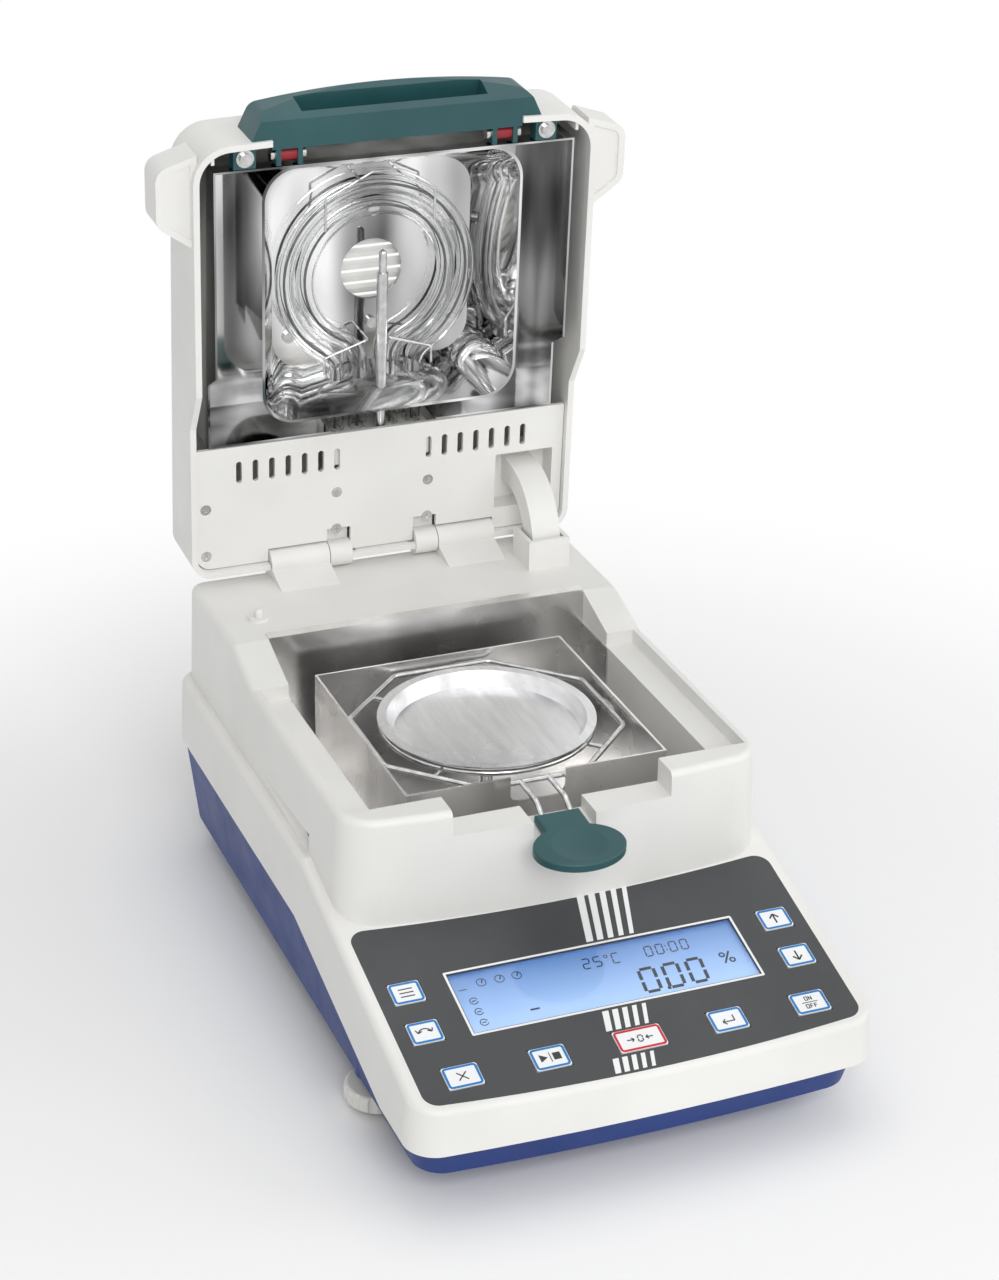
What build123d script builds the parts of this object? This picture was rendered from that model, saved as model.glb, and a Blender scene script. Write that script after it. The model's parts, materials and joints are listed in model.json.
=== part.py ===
"""Bench moisture analyzer with an open heater lid, one group of solids per sub-part, in millimetres.

Frame: +X to the right of a person facing the keypad, -Y towards that person, +Z up.
The floor is z = 0 and the origin lies in the middle of the footprint with the lid open.
"""
import os
from functools import cache
from math import atan2, cos, degrees, radians, sin, sqrt, tan

from build123d import *

# Base housing: full widths, places along Y from the origin
BASE_WIDTH = 202.0
BASE_FRONT_Y = -179.0
BASE_REAR_Y = 157.0
BASE_FRONT_BOW = 4.0
BASE_CORNER_R = 13.0
BASE_DRAFT = 1.3
WALL = 3.0

# Seam between the blue pan and the white housing, seen from the side
SEAM_REAR_Z = 56.4
SEAM_FRONT_Z = 31.0
SEAM_SLOPE_START_Y = -25.0
SEAM_SLOPE_END_Y = -137.0
SEAM_LIP = 1.2

# Blue pan
PAN_BOTTOM_Z = 16.0
PAN_SIDE_TAPER = 4.6
PAN_FRONT_TAPER = 14.0
PAN_REST_Z = 9.3
PAN_BAR_FRONT_Y = -151.0
PAN_BAR_LENGTH = 27.0
PAN_BOSS_WIDTH = 30.0
PAN_BOSS_LENGTH = 26.0

# Raised box that carries the chamber, the deck and the hinge
SHOULDER_Z = 87.5
SHOULDER_LEDGE = 6.5
BOX_FRONT_Y = -80.5
BOX_FRONT_BOW = 6.0
BOX_REAR_Y = 153.8
BOX_FRONT_R = 18.0
BOX_REAR_R = 10.0
BOX_DRAFT = 1.2
RIM_Z = 124.6
DECK_Z = 133.8
RAMP_START_Y = 53.5
DECK_FRONT_Y = 82.3
EDGE_R = 3.0

# Heating chamber
RIM_WIDTH = 5.0
GUTTER_WIDTH = BASE_WIDTH - 2 * (SHOULDER_LEDGE + RIM_WIDTH)
GUTTER_STEP = 13.0
GUTTER_DEPTH = 6.6
CHAMBER_WIDTH = GUTTER_WIDTH - 2 * GUTTER_STEP
CHAMBER_FRONT_Y = -64.2
CHAMBER_FLOOR_Z = 80.0
TUB_WALL = 2.4
LINER_T = 0.8
LINER_WING = 31.0
LINER_FLANGE = 5.0
LEDGE_WIDTH = 98.0
LEDGE_Z = 113.6
STEM_NOTCH_WIDTH = 28.0

# Tapered scoops above the shoulder
SCOOP_REAR_Y = 46.0
SCOOP_FRONT_Y = -29.0
SCOOP_R = 4.6

# Control panel: its plane falls to the front from this corner line
PANEL_TOP_Y = -76.8
PANEL_TOP_Z = 76.3
PANEL_SLOPE = 14.03
OVERLAY_MARGIN = 6.0
OVERLAY_WIDTH = BASE_WIDTH - 2 * OVERLAY_MARGIN
OVERLAY_LENGTH = 98.0
OVERLAY_BOW = 5.0
OVERLAY_R = 6.7
OVERLAY_T = 0.8
DISPLAY_SIDE_GAP = 28.75
DISPLAY_WIDTH = OVERLAY_WIDTH - 2 * DISPLAY_SIDE_GAP
DISPLAY_HEIGHT = 39.0
DISPLAY_DOWN = 49.8
WINDOW_T = 1.4
DISPLAY_T = 7.0
KEY_GAP = 0.35
KEY_T = 2.4
KEY_CORNER_R = 1.0
KEY_PROUD = 0.3
KEY_TRAVEL = 0.4
KEY_STEM_R = 2.0
DOME_R = 3.2
DOME_H = 0.7
BOARD_T = 1.6
POST_R = 2.4
KEY_HEIGHT = 11.4
KEY_SIDE_WIDTH = 13.2
KEY_ROW_WIDTH = 15.0
KEY_TARE_WIDTH = 20.6
KEY_SIDE_X = OVERLAY_WIDTH / 2 - 12.7
KEY_SIDE_HIGH = 38.6
KEY_SIDE_LOW = 60.8
KEY_ROW_X = OVERLAY_WIDTH / 2 - 19.1
KEY_ROW_MID_X = 0.5125 * KEY_ROW_X
KEY_ROW_DOWN = OVERLAY_LENGTH - 11.3
# Name, centre across, centre down the panel, width
KEYS = (
    ("key_menu", -KEY_SIDE_X, KEY_SIDE_HIGH, KEY_SIDE_WIDTH),
    ("key_unit", -KEY_SIDE_X, KEY_SIDE_LOW, KEY_SIDE_WIDTH),
    ("key_escape", -KEY_ROW_X, KEY_ROW_DOWN, KEY_ROW_WIDTH),
    ("key_start_stop", -KEY_ROW_MID_X, KEY_ROW_DOWN, KEY_ROW_WIDTH),
    ("key_tare", 0.0, KEY_ROW_DOWN, KEY_TARE_WIDTH),
    ("key_enter", KEY_ROW_MID_X, KEY_ROW_DOWN, KEY_ROW_WIDTH),
    ("key_power", KEY_ROW_X, KEY_ROW_DOWN, KEY_ROW_WIDTH),
    ("key_up", KEY_SIDE_X, KEY_SIDE_HIGH, KEY_SIDE_WIDTH),
    ("key_down", KEY_SIDE_X, KEY_SIDE_LOW, KEY_SIDE_WIDTH),
)
BOARD_FROM_DOWN = KEY_SIDE_HIGH - 0.9 * KEY_HEIGHT
BOARD_TO_DOWN = OVERLAY_LENGTH - 5.0
POST_X = DISPLAY_WIDTH / 2 + 2 * POST_R
POST_LOW_X = KEY_ROW_MID_X / 2
POST_LOW_DOWN = KEY_ROW_DOWN - KEY_HEIGHT
POST_PLACES = ((-POST_X, DISPLAY_DOWN), (POST_X, DISPLAY_DOWN), (-POST_LOW_X, POST_LOW_DOWN),
               (POST_LOW_X, POST_LOW_DOWN))

# Weighing parts, all centred on the load axis
LOAD_AXIS_Y = 9.0
SHIELD_SIDE = 119.0
SHIELD_TOP_Z = 119.5
SHIELD_T = 1.0
SHIELD_NOTCH_WIDTH = 25.0
SHIELD_NOTCH_DEPTH = 12.0
SHIELD_LUG_WIDTH = 12.0
DISH_RIM_R = 48.2
DISH_WALL_R = 44.6
DISH_BASE_R = 41.4
DISH_HEIGHT = 7.0
DISH_T = 0.6
DISH_RIM_Z = 117.8
LIFTER_R = 60.2
LIFTER_WIRE_R = 1.25
STRUT_R = 1.0
LIFTER_DROP = 3.4
LIFTER_RING_R = 46.6
LIFTER_BEND_R = 5.0
STEM_SPREAD = 6.5
GRIP_NECK_WIDTH = 20.0
GRIP_HALF = 20.0
GRIP_LENGTH = 15.0
GRIP_T = 3.6
GRIP_FALL = 5.0
GRIP_DROP = 2.4
GRIP_NECK_Y = -71.0
GRIP_CENTRE = 25.0
STEM_BEND_RUN = 6.5
GRIP_CLEARANCE = 1.2
SUPPORT_ARM_R = 36.0
SUPPORT_WIRE_R = 1.5
SUPPORT_STEM_R = 3.0
SEAT_GAP = 0.05
LOAD_HOLE_R = 6.0
CELL_WIDTH = 30.0
CELL_LENGTH = 130.0
CELL_BOTTOM_Z = 28.0
CELL_TOP_Z = 52.0

# Lid in its own closed frame: X across, u forward from the hinge axis, w up from it
HINGE_Y = 147.9
HINGE_Z = 140.6
OPEN_ANGLE = 86.7
LID_SIDE_INSET = 7.2
LID_HALF = BASE_WIDTH / 2 - LID_SIDE_INSET
LID_FRONT_U = 212.3
LID_REAR_U = -2.0
LID_FRONT_BOW = 2.0
LID_RIM_W = -15.5
LID_HEEL_W = -4.8
LID_HEEL_U = 75.0
LID_SLOPE_U = 95.5
LID_TOP_REAR_W = 32.4
LID_TOP_FRONT_W = 23.8
LID_WALL = 2.8
LID_FRONT_R = 17.0
LID_REAR_R = 10.0
LID_EDGE_R = 5.0
EAR_REACH = 15.6
EAR_ROOT_FROM_U = 163.0
EAR_ROOT_TO_U = 207.0
EAR_TIP_FROM_U = 176.0
EAR_TIP_TO_U = 201.0
EAR_LOW_W = -12.0
EAR_HIGH_W = 8.0
EAR_CORNER_R = 7.0

# Hinge
BARREL_R = 6.4
BARREL_IN_X = 27.2
BARREL_OUT_X = 55.6
KNUCKLE_IN_X = 16.0
KNUCKLE_GAP = 0.4
HINGE_PIN_R = 2.5
PIN_CLEARANCE = 0.05
BARREL_SWEEP = 1.1
FAIRING_LENGTH = 21.0

# Heater in the lid
HEATER_SIDE_GAP = 7.0
HEATER_HALF = LID_HALF - LID_WALL - HEATER_SIDE_GAP
HEATER_FRONT_GAP = 10.9
HEATER_FRONT_U = LID_FRONT_U - LID_WALL - HEATER_FRONT_GAP
HEATER_REAR_U = 62.3
HEATER_LIP_W = -12.9
HEATER_HEEL_W = -0.5
HEATER_KINK_U = 94.0
HEATER_SLOPE_U = 102.0
HEATER_BACK_W = 21.0
SHEET_T = 0.9
LAMP_GAP_HALF = 26.0
TRAY_CENTRE_U = 135.8
TRAY_RIM_HALF = 61.2
TRAY_MID_HALF = 55.0
TRAY_BACK_HALF = 48.5
TRAY_RIM_W = -9.5
TRAY_MID_W = 4.0
TRAY_CORNER_R = 16.0
WINDOW_U = 133.0
WINDOW_R = 14.7
VENT_HOLE_R = 3.0
VENT_HOLE_COUNT = 8
VENT_HOLE_PITCH = 9.8
VENT_HOLE_W = -3.5
LAMP_CENTRE_U = 132.0
LAMP_W = 13.2
LAMP_TUBE_R = 4.2
LAMP_GLASS_T = 1.0
LAMP_NECK_R = 12.0
# Ring radius and leg offset of the outer and the inner lamp
LAMPS = ((43.8, 19.0), (34.0, 8.0))
LAMP_FOOT_U = 58.0
FILAMENT_R = 0.6
HOLDER_HALF = 25.0
HOLDER_LENGTH = 13.0
HOLDER_LOW_W = 1.0
HOLDER_HIGH_W = 20.0
PROBE_R = 2.6
PROBE_TIP_R = 1.8
PROBE_W = 4.0
PROBE_ROD_U = 137.0
PROBE_TIP_U = 148.0
CLIP_WIRE_R = 0.6
CLIP_CLEARANCE = 0.3
TOP_CLIP_U = 172.0
LOW_CLIP_U = 96.0
CLIP_SCREW_U = 162.0
LOW_SCREW_U = 107.0

# Lid cover, vent slots and screws
COVER_W = -1.35
COVER_T = 2.0
COVER_GAP = 0.3
COVER_REAR_U = 1.2
SLOT_U = 49.0
SLOT_LENGTH = 10.8
SLOT_WIDTH = 2.8
SLOT_PITCH = 7.9
SLOT_COUNT = 7
SLOT_FIRST_X = 22.6
SIDE_SCREW_X = LID_HALF - 7.8
COVER_SCREWS = ((-SIDE_SCREW_X, 32.0), (-SIDE_SCREW_X, 8.0), (-SLOT_FIRST_X, 32.0), (-SLOT_FIRST_X, 13.0),
                (SLOT_FIRST_X, 32.0), (SLOT_FIRST_X, 13.0))
SCREW_HEAD_R = 2.6
SCREW_HEAD_T = 1.0
SCREW_SHANK_R = 1.4
SCREW_DEPTH = 9.0
BOSS_R = 3.6

# Vent grille in the lid's top
GRILLE_WIDTH = 64.0
GRILLE_LENGTH = 54.0
GRILLE_BARS = 8
GRILLE_T = 2.0

# Curved cable duct from the lid into its socket on the deck
DUCT_SIDE_GAP = 22.6
DUCT_X = LID_HALF - DUCT_SIDE_GAP
DUCT_WIDTH = 14.0
DUCT_INNER_R = 22.5
DUCT_OUTER_R = 34.0
DUCT_END_ANGLE = 77.0
DUCT_WALL = 1.6
POCKET_HALF = 14.5
POCKET_REAR_U = 12.0
POCKET_FRONT_U = 40.0
POCKET_W = 9.6
POCKET_T = 1.6
SOCKET_WALL = 2.0
SOCKET_GAP = 1.2
SOCKET_H = 14.5

# Teal handle on the lid's front wall
HANDLE_HALF = 67.0
HANDLE_END_HALF = 62.0
HANDLE_DEPTH = 14.0
HANDLE_END_DEPTH = 9.5
HANDLE_NEAR_DEPTH = 7.5
HANDLE_END_R = 6.0
HANDLE_LOW_W = -14.0
HANDLE_HIGH_W = 7.0
HANDLE_SLOT_HALF = 46.0
HANDLE_SLOT_LOW_W = -9.0
HANDLE_SLOT_HIGH_W = 2.5
HANDLE_SLOT_DEPTH = 10.0
HANDLE_NOTCH_HALF = 58.0
HANDLE_NOTCH_W = -6.5
HANDLE_STRIP_T = 5.5
HANDLE_STRIP_U = LID_FRONT_U - HANDLE_STRIP_T
LEG_X = 50.0
LEG_HALF = 6.0
LEG_PLATE = 2.2
LEG_END_U = HEATER_FRONT_U + 0.8
BRACKET_X = 70.0
BRACKET_HALF = 5.0
BRACKET_END_U = HEATER_FRONT_U + 0.4
WASHER_R = 4.0
BUSH_R = 2.9

# Lid switch on the deck
SWITCH_X = -74.3
SWITCH_Y = 103.8
SWITCH_FLANGE_R = 4.8
SWITCH_FLANGE_T = 1.4
SWITCH_PIN_R = 1.9
SWITCH_FIT = 0.1
SWITCH_TRAVEL = 2.0
SWITCH_TOP_GAP = 0.25
SWITCH_COLLAR_R = 3.2
SWITCH_BODY = (20.0, 8.0, 12.0)

# Feet
FOOT_SIDE_INSET = 15.0
FOOT_X = BASE_WIDTH / 2 - FOOT_SIDE_INSET
FOOT_Y = -91.0
FOOT_WHEEL_R = 14.7
FOOT_WHEEL_T = 8.0
FOOT_PAD_R = 9.0
FOOT_PAD_T = 3.0
FOOT_SCALLOPS = 12
FOOT_SCALLOP_R = 2.2
STUD_R = 4.0
STUD_TOP_Z = 26.0
STUD_FIT = 0.08
REAR_FOOT_SIDE_INSET = 25.0
REAR_FOOT_X = BASE_WIDTH / 2 - REAR_FOOT_SIDE_INSET
REAR_FOOT_Y = 97.0
REAR_FOOT_R = 9.0

# Connectors in the pan's rear wall and the electronics inside
INLET_X = 60.0
INLET_Z = 38.0
INLET_WIDTH = 27.4
INLET_HEIGHT = 20.0
INLET_DEPTH = 22.0
PORT_X = -58.0
PORT_WIDTH = 31.0
PORT_HEIGHT = 12.6
PORT_DEPTH = 14.0
VENT_COUNT = 9
VENT_PITCH = 8.0
VENT_LENGTH = 18.0
VENT_WIDTH = 3.0
SUPPLY_SIZE = (56.0, 70.0, 24.0)
SUPPLY_PLACE = (54.0, 92.0)
LOGIC_SIZE = (120.0, 56.0)
LOGIC_Y = -120.0
STANDOFF_H = 9.0

FAR = 2 * BASE_WIDTH


def group(shapes):
    """Fuse a list of shapes into one part."""
    return Part() + shapes


def bowed_outline(half, front, bow, rear, front_r, rear_r):
    """Plan outline whose front edge bows towards -Y, with rounded corners."""
    edge = ThreePointArc((-half, front + bow), (0, front), (half, front + bow))
    rest = Polyline((half, front + bow), (half, rear), (-half, rear), (-half, front + bow))
    face = make_face(edge.edges() + rest.edges())
    rear_pair = face.vertices().sort_by(Axis.Y)[-2:]
    face = fillet(rear_pair, rear_r)
    front_pair = face.vertices().sort_by(Axis.Y)[:2]
    return fillet(front_pair, front_r)


def side_profile(points, half=FAR):
    """Prism of a side view drawn as (y, z) points, to both sides of the symmetry plane."""
    outline = Polyline(*points, close=True)
    return extrude(Plane.YZ * make_face(outline), half, both=True)


def box_between(x0, x1, y0, y1, z0, z1):
    """Box from its low and high corners."""
    return Pos((x0 + x1) / 2, (y0 + y1) / 2, (z0 + z1) / 2) * Box(x1 - x0, y1 - y0, z1 - z0)


def disc(radius, z0, z1):
    """Upright cylinder between two heights."""
    return Pos(0, 0, (z0 + z1) / 2) * Cylinder(radius, z1 - z0)


def cross_bar(radius, x0, x1):
    """Cylinder along X between two places."""
    return Pos((x0 + x1) / 2, 0, 0) * Rot(0, 90, 0) * Cylinder(radius, x1 - x0)


def round_bar(path, radius, bore=0.0):
    """Round bar or tube along a path."""
    section = Circle(radius)
    if bore:
        section -= Circle(bore)
    start = Plane(origin=path @ 0, z_dir=path % 0)
    return sweep(start * section, path=path)


def bent_bar(points, radius, bend):
    """Round bar through points, its corners bent to a radius."""
    return round_bar(FilletPolyline(*points, radius=bend), radius)


def drafted(outline, low, high, draft):
    """Prism of a plan outline between two heights, each side leaning in by a draft."""
    taper = degrees(atan2(draft, high - low))
    return Pos(0, 0, low) * extrude(outline, high - low, taper=taper)


def mirrored(shape):
    """The shape and its mirror image across the symmetry plane."""
    return shape + mirror(shape, about=Plane.YZ)


def in_lid(shape):
    """Turn a shape from the lid's closed frame (X, -u, w) to its open place."""
    return Pos(0, HINGE_Y, HINGE_Z) * Rot(-OPEN_ANGLE, 0, 0) * shape


def lid_box(x0, x1, u0, u1, w0, w1):
    """Box in the lid's closed frame."""
    return box_between(x0, x1, -u1, -u0, w0, w1)


def on_panel(x, down, shape):
    """Place a shape on the panel plane, its own +Z along the panel's normal."""
    return Pos(0, PANEL_TOP_Y, PANEL_TOP_Z) * Rot(PANEL_SLOPE, 0, 0) * Pos(x, -down, 0) * shape


def panel_z(y):
    """Height of the panel plane at a place along Y."""
    return PANEL_TOP_Z + (y - PANEL_TOP_Y) * tan(radians(PANEL_SLOPE))


def panel_end_y():
    """Place where the panel plane meets the level shoulder."""
    return PANEL_TOP_Y + (SHOULDER_Z - PANEL_TOP_Z) / tan(radians(PANEL_SLOPE))


def above_seam():
    """Everything above the seam line."""
    return side_profile([(FAR, SEAM_REAR_Z), (SEAM_SLOPE_START_Y, SEAM_REAR_Z), (SEAM_SLOPE_END_Y, SEAM_FRONT_Z),
                         (-FAR, SEAM_FRONT_Z), (-FAR, FAR), (FAR, FAR)])


# Upper housing

def lower_outline(inset):
    """Plan outline of the lower housing, larger by minus the inset."""
    return bowed_outline(BASE_WIDTH / 2 - inset, BASE_FRONT_Y + inset, BASE_FRONT_BOW, BASE_REAR_Y - inset,
                         BASE_CORNER_R - inset, BASE_CORNER_R - inset)


def lower_form(inset):
    """Flared lower part of the housing, cut by the panel plane and the shoulder."""
    form = drafted(lower_outline(inset - BASE_DRAFT), PAN_BOTTOM_Z, SHOULDER_Z + WALL, 2 * BASE_DRAFT)
    drop = inset / cos(radians(PANEL_SLOPE))
    bend = panel_end_y()
    cap = side_profile([(-FAR, panel_z(-FAR) - drop), (bend, SHOULDER_Z - drop), (FAR, SHOULDER_Z - drop),
                        (FAR, FAR), (-FAR, FAR)])
    return form - cap


def on_cap(edge):
    """Whether an edge of the lower form borders the panel or the shoulder."""
    place = edge.center()
    cap = min(panel_z(place.Y), SHOULDER_Z)
    return abs(place.Z - cap) < 0.05 and abs(place.Y - panel_end_y()) > 1


def box_form(inset):
    """Raised box with its rim, ramps and deck."""
    half = BASE_WIDTH / 2 - SHOULDER_LEDGE - inset
    outline = bowed_outline(half + BOX_DRAFT, BOX_FRONT_Y - BOX_DRAFT + inset, BOX_FRONT_BOW,
                            BOX_REAR_Y + BOX_DRAFT - inset, BOX_FRONT_R - inset, BOX_REAR_R - inset)
    form = drafted(outline, panel_z(BOX_FRONT_Y) - 2 * WALL, DECK_Z + WALL, 2 * BOX_DRAFT)
    cap = side_profile([(-FAR, RIM_Z - inset), (RAMP_START_Y, RIM_Z - inset), (DECK_FRONT_Y, DECK_Z - inset),
                        (FAR, DECK_Z - inset), (FAR, FAR), (-FAR, FAR)])
    return form - cap


def on_rim(edge):
    """Whether an edge of the raised box borders its rim, ramps or deck."""
    place = edge.center()
    share = (place.Y - RAMP_START_Y) / (DECK_FRONT_Y - RAMP_START_Y)
    top = RIM_Z + (DECK_Z - RIM_Z) * min(max(share, 0), 1)
    return abs(place.Z - top) < 0.05 and abs(place.X) + abs(edge.tangent_at(0.5).Y) > 0.5


def chamber_well(grow):
    """Space of the heating chamber and its gutters, larger by a wall."""
    half = CHAMBER_WIDTH / 2 + grow
    well = box_between(-half, half, CHAMBER_FRONT_Y - grow, DECK_FRONT_Y + grow, CHAMBER_FLOOR_Z - grow, FAR)
    wide = GUTTER_WIDTH / 2 + grow
    gutter = box_between(-wide, wide, CHAMBER_FRONT_Y - grow, RAMP_START_Y + grow,
                         RIM_Z - GUTTER_DEPTH - grow, FAR)
    return well + gutter


def grip_space():
    """Sloping clearance for the lifter's neck and grip through the front wall."""
    length = 3 * GRIP_CENTRE
    width = STEM_NOTCH_WIDTH
    return grip_place(Pos(0, -length / 3, width / 2 - GRIP_T - GRIP_CLEARANCE) * Box(width, length, width))


def front_cuts():
    """Finger ledge and stem notch in the chamber's front wall."""
    front = BOX_FRONT_Y - 2 * BOX_DRAFT
    ledge = box_between(-LEDGE_WIDTH / 2, LEDGE_WIDTH / 2, front - WALL, CHAMBER_FRONT_Y + WALL, LEDGE_Z, DECK_Z)
    return ledge + grip_space()


def side_scoops():
    """Tapered scoops along both sides, just above the shoulder."""
    x = BASE_WIDTH / 2 - SHOULDER_LEDGE + BOX_DRAFT
    middle = (SCOOP_REAR_Y + SCOOP_FRONT_Y) / 2
    cone = Rot(90, 0, 0) * Cone(SCOOP_R / 8, SCOOP_R, SCOOP_REAR_Y - SCOOP_FRONT_Y)
    return mirrored(Pos(x, middle, SHOULDER_Z + SCOOP_R) * cone)


def hinge_barrels():
    """Two barrels on the deck with their fairings."""
    middle = (BARREL_OUT_X + BARREL_IN_X) / 2
    half = (BARREL_OUT_X - BARREL_IN_X) / 2
    barrel = Pos(0, HINGE_Y, HINGE_Z) * cross_bar(BARREL_R, BARREL_IN_X, BARREL_OUT_X)
    root = DECK_Z - WALL
    rear = BOX_REAR_Y - BOX_DRAFT
    fairing = side_profile([(HINGE_Y - FAIRING_LENGTH, root), (HINGE_Y - FAIRING_LENGTH, DECK_Z),
                            (HINGE_Y - BARREL_R, HINGE_Z - BARREL_R / 3), (HINGE_Y, HINGE_Z),
                            (rear, HINGE_Z - BARREL_R / 2), (rear, root)], half)
    return mirrored(barrel + Pos(middle, 0, 0) * fairing)


def socket_space(grow, low, high):
    """Upright box round the cable duct's path, larger by a wall or a gap."""
    half = DUCT_WIDTH / 2 + grow
    drop = HINGE_Z - DECK_Z + WALL
    rear = HINGE_Y - sqrt(DUCT_INNER_R ** 2 - drop ** 2)
    return box_between(DUCT_X - half, DUCT_X + half, HINGE_Y - DUCT_OUTER_R - grow, rear + grow, low, high)


def rear_vents():
    """Upright cooling slots for the rear wall of the raised box."""
    slot = extrude(Rot(0, 0, 90) * SlotOverall(VENT_LENGTH, VENT_WIDTH), 2 * WALL, both=True)
    slot = Pos(0, BOX_REAR_Y, (SHOULDER_Z + DECK_Z) / 2) * Rot(90, 0, 0) * slot
    return [Pos((i - (VENT_COUNT - 1) / 2) * VENT_PITCH, 0, 0) * slot for i in range(VENT_COUNT)]


def panel_prism(x, down, width, height, low, high):
    """Rectangular prism on the panel, from low to high along the normal."""
    return on_panel(x, down, Pos(0, 0, (low + high) / 2) * Box(width, height, high - low))


def overlay_outline(grow):
    """Outline of the keypad overlay with bowed ends and rounded corners."""
    half = OVERLAY_WIDTH / 2 + grow
    low = -OVERLAY_LENGTH - grow
    upper = ThreePointArc((-half, grow), (0, grow - OVERLAY_BOW), (half, grow))
    lower = ThreePointArc((-half, low), (0, low - OVERLAY_BOW), (half, low))
    sides = [Line((-half, grow), (-half, low)), Line((half, grow), (half, low))]
    face = make_face(upper.edges() + lower.edges() + sides)
    return fillet(face.vertices(), OVERLAY_R)


def panel_cuts():
    """Overlay recess, key openings and display opening."""
    cuts = [on_panel(0, 0, extrude(overlay_outline(0), OVERLAY_T, both=True))]
    for _, x, down, width in KEYS:
        cuts.append(panel_prism(x, down, width + 2 * KEY_GAP, KEY_HEIGHT + 2 * KEY_GAP, -3 * WALL, WALL))
    cuts.append(panel_prism(0, DISPLAY_DOWN, DISPLAY_WIDTH, DISPLAY_HEIGHT, -3 * WALL, WALL))
    return cuts


def board_top():
    """Height of the keypad board's upper face along the panel's normal."""
    return -OVERLAY_T - WINDOW_T - DISPLAY_T


def sill_space(low):
    """Block between the raised box's front and the chamber, round the finger ledge."""
    half = LEDGE_WIDTH / 2 + WALL
    return box_between(-half, half, BOX_FRONT_Y - 2 * BOX_DRAFT, CHAMBER_FRONT_Y, low, RIM_Z)


def housing_shell():
    """Outer walls of the housing with the chamber tub and sill, before the openings."""
    lower = lower_form(0)
    lower = fillet(lower.edges().filter_by(on_cap), EDGE_R)
    raised = box_form(0)
    raised = fillet(raised.edges().filter_by(on_rim), EDGE_R)
    void = lower_form(WALL) + box_form(WALL) - chamber_well(TUB_WALL) - sill_space(PANEL_TOP_Z - WALL)
    return lower + raised - void


@cache
def white_mouldings():
    """Housing, chamber tub and front sill in one, with all their openings."""
    socket_wall = socket_space(SOCKET_GAP + SOCKET_WALL, DECK_Z - WALL, DECK_Z + SOCKET_H)
    boss = Pos(SWITCH_X, SWITCH_Y, 0) * disc(SWITCH_FLANGE_R, DECK_Z - WALL, DECK_Z + SWITCH_FLANGE_T)
    body = housing_shell() + hinge_barrels() + socket_wall + boss
    post = disc(POST_R, board_top(), -WALL)
    body = body + [on_panel(x, down, post) for x, down in POST_PLACES]
    pin_hole = Pos(SWITCH_X, SWITCH_Y, 0) * disc(SWITCH_PIN_R + SWITCH_FIT, DECK_Z - 2 * WALL, DECK_Z + 2 * WALL)
    load_hole = Pos(0, LOAD_AXIS_Y, 0) * disc(LOAD_HOLE_R, CHAMBER_FLOOR_Z - 2 * WALL, CHAMBER_FLOOR_Z + WALL)
    end = BARREL_OUT_X - WALL
    hinge_bore = Pos(0, HINGE_Y, HINGE_Z) * cross_bar(HINGE_PIN_R, -end, end)
    openings = [chamber_well(0), front_cuts(), side_scoops(), pin_hole, load_hole, hinge_bore]
    openings.append(socket_space(SOCKET_GAP, DECK_Z - 2 * WALL, DECK_Z + 2 * SOCKET_H))
    for opening in openings + panel_cuts() + rear_vents():
        body = body - opening
    return body & above_seam()


def sill_seat():
    """Height where the front sill stands on the housing."""
    return panel_z(CHAMBER_FRONT_Y)


def upper_housing():
    """White housing: panel frame, shoulder, raised box, deck, hinge barrels and duct socket."""
    return white_mouldings() - chamber_well(TUB_WALL) - sill_space(sill_seat())


def chamber_tub():
    """White tub of the heating chamber with its gutters."""
    return (white_mouldings() & chamber_well(TUB_WALL)) - sill_space(sill_seat())


def chamber_sill():
    """White front sill with the finger ledge and the notch for the lifter."""
    return white_mouldings() & sill_space(sill_seat())


# Blue pan

def pan_form(inset):
    """Tapered tub below the seam."""
    lip = SEAM_LIP + inset
    half = BASE_WIDTH / 2 - lip
    front = BASE_FRONT_Y + lip
    rear = BASE_REAR_Y - lip
    corner = BASE_CORNER_R - inset
    low = bowed_outline(half - PAN_SIDE_TAPER, front + PAN_FRONT_TAPER / 2, BASE_FRONT_BOW,
                        rear - PAN_SIDE_TAPER, corner, corner)
    high = bowed_outline(half, front - PAN_FRONT_TAPER / 2, BASE_FRONT_BOW, rear, corner, corner)
    return loft([Pos(0, 0, PAN_BOTTOM_Z) * low, Pos(0, 0, SEAM_REAR_Z + WALL) * high], ruled=True)


def pan_feet():
    """Front bar and rear bosses under the pan."""
    half = BASE_WIDTH / 2 - SEAM_LIP - PAN_SIDE_TAPER - WALL
    bar = box_between(-half, half, PAN_BAR_FRONT_Y, PAN_BAR_FRONT_Y + PAN_BAR_LENGTH, PAN_REST_Z, PAN_BOTTOM_Z)
    boss = box_between(half - PAN_BOSS_WIDTH, half, REAR_FOOT_Y - PAN_BOSS_LENGTH / 2,
                       REAR_FOOT_Y + PAN_BOSS_LENGTH / 2, PAN_REST_Z, PAN_BOTTOM_Z)
    pieces = [bar, boss, mirror(boss, about=Plane.YZ)]
    return group([chamfer(piece.faces().sort_by(Axis.Z)[0].edges(), WALL) for piece in pieces])


def connector_opening(x, width, height):
    """Opening through the pan's rear wall."""
    return box_between(x - width / 2, x + width / 2, BASE_REAR_Y - INLET_DEPTH, BASE_REAR_Y + WALL,
                       INLET_Z - height / 2, INLET_Z + height / 2)


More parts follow.
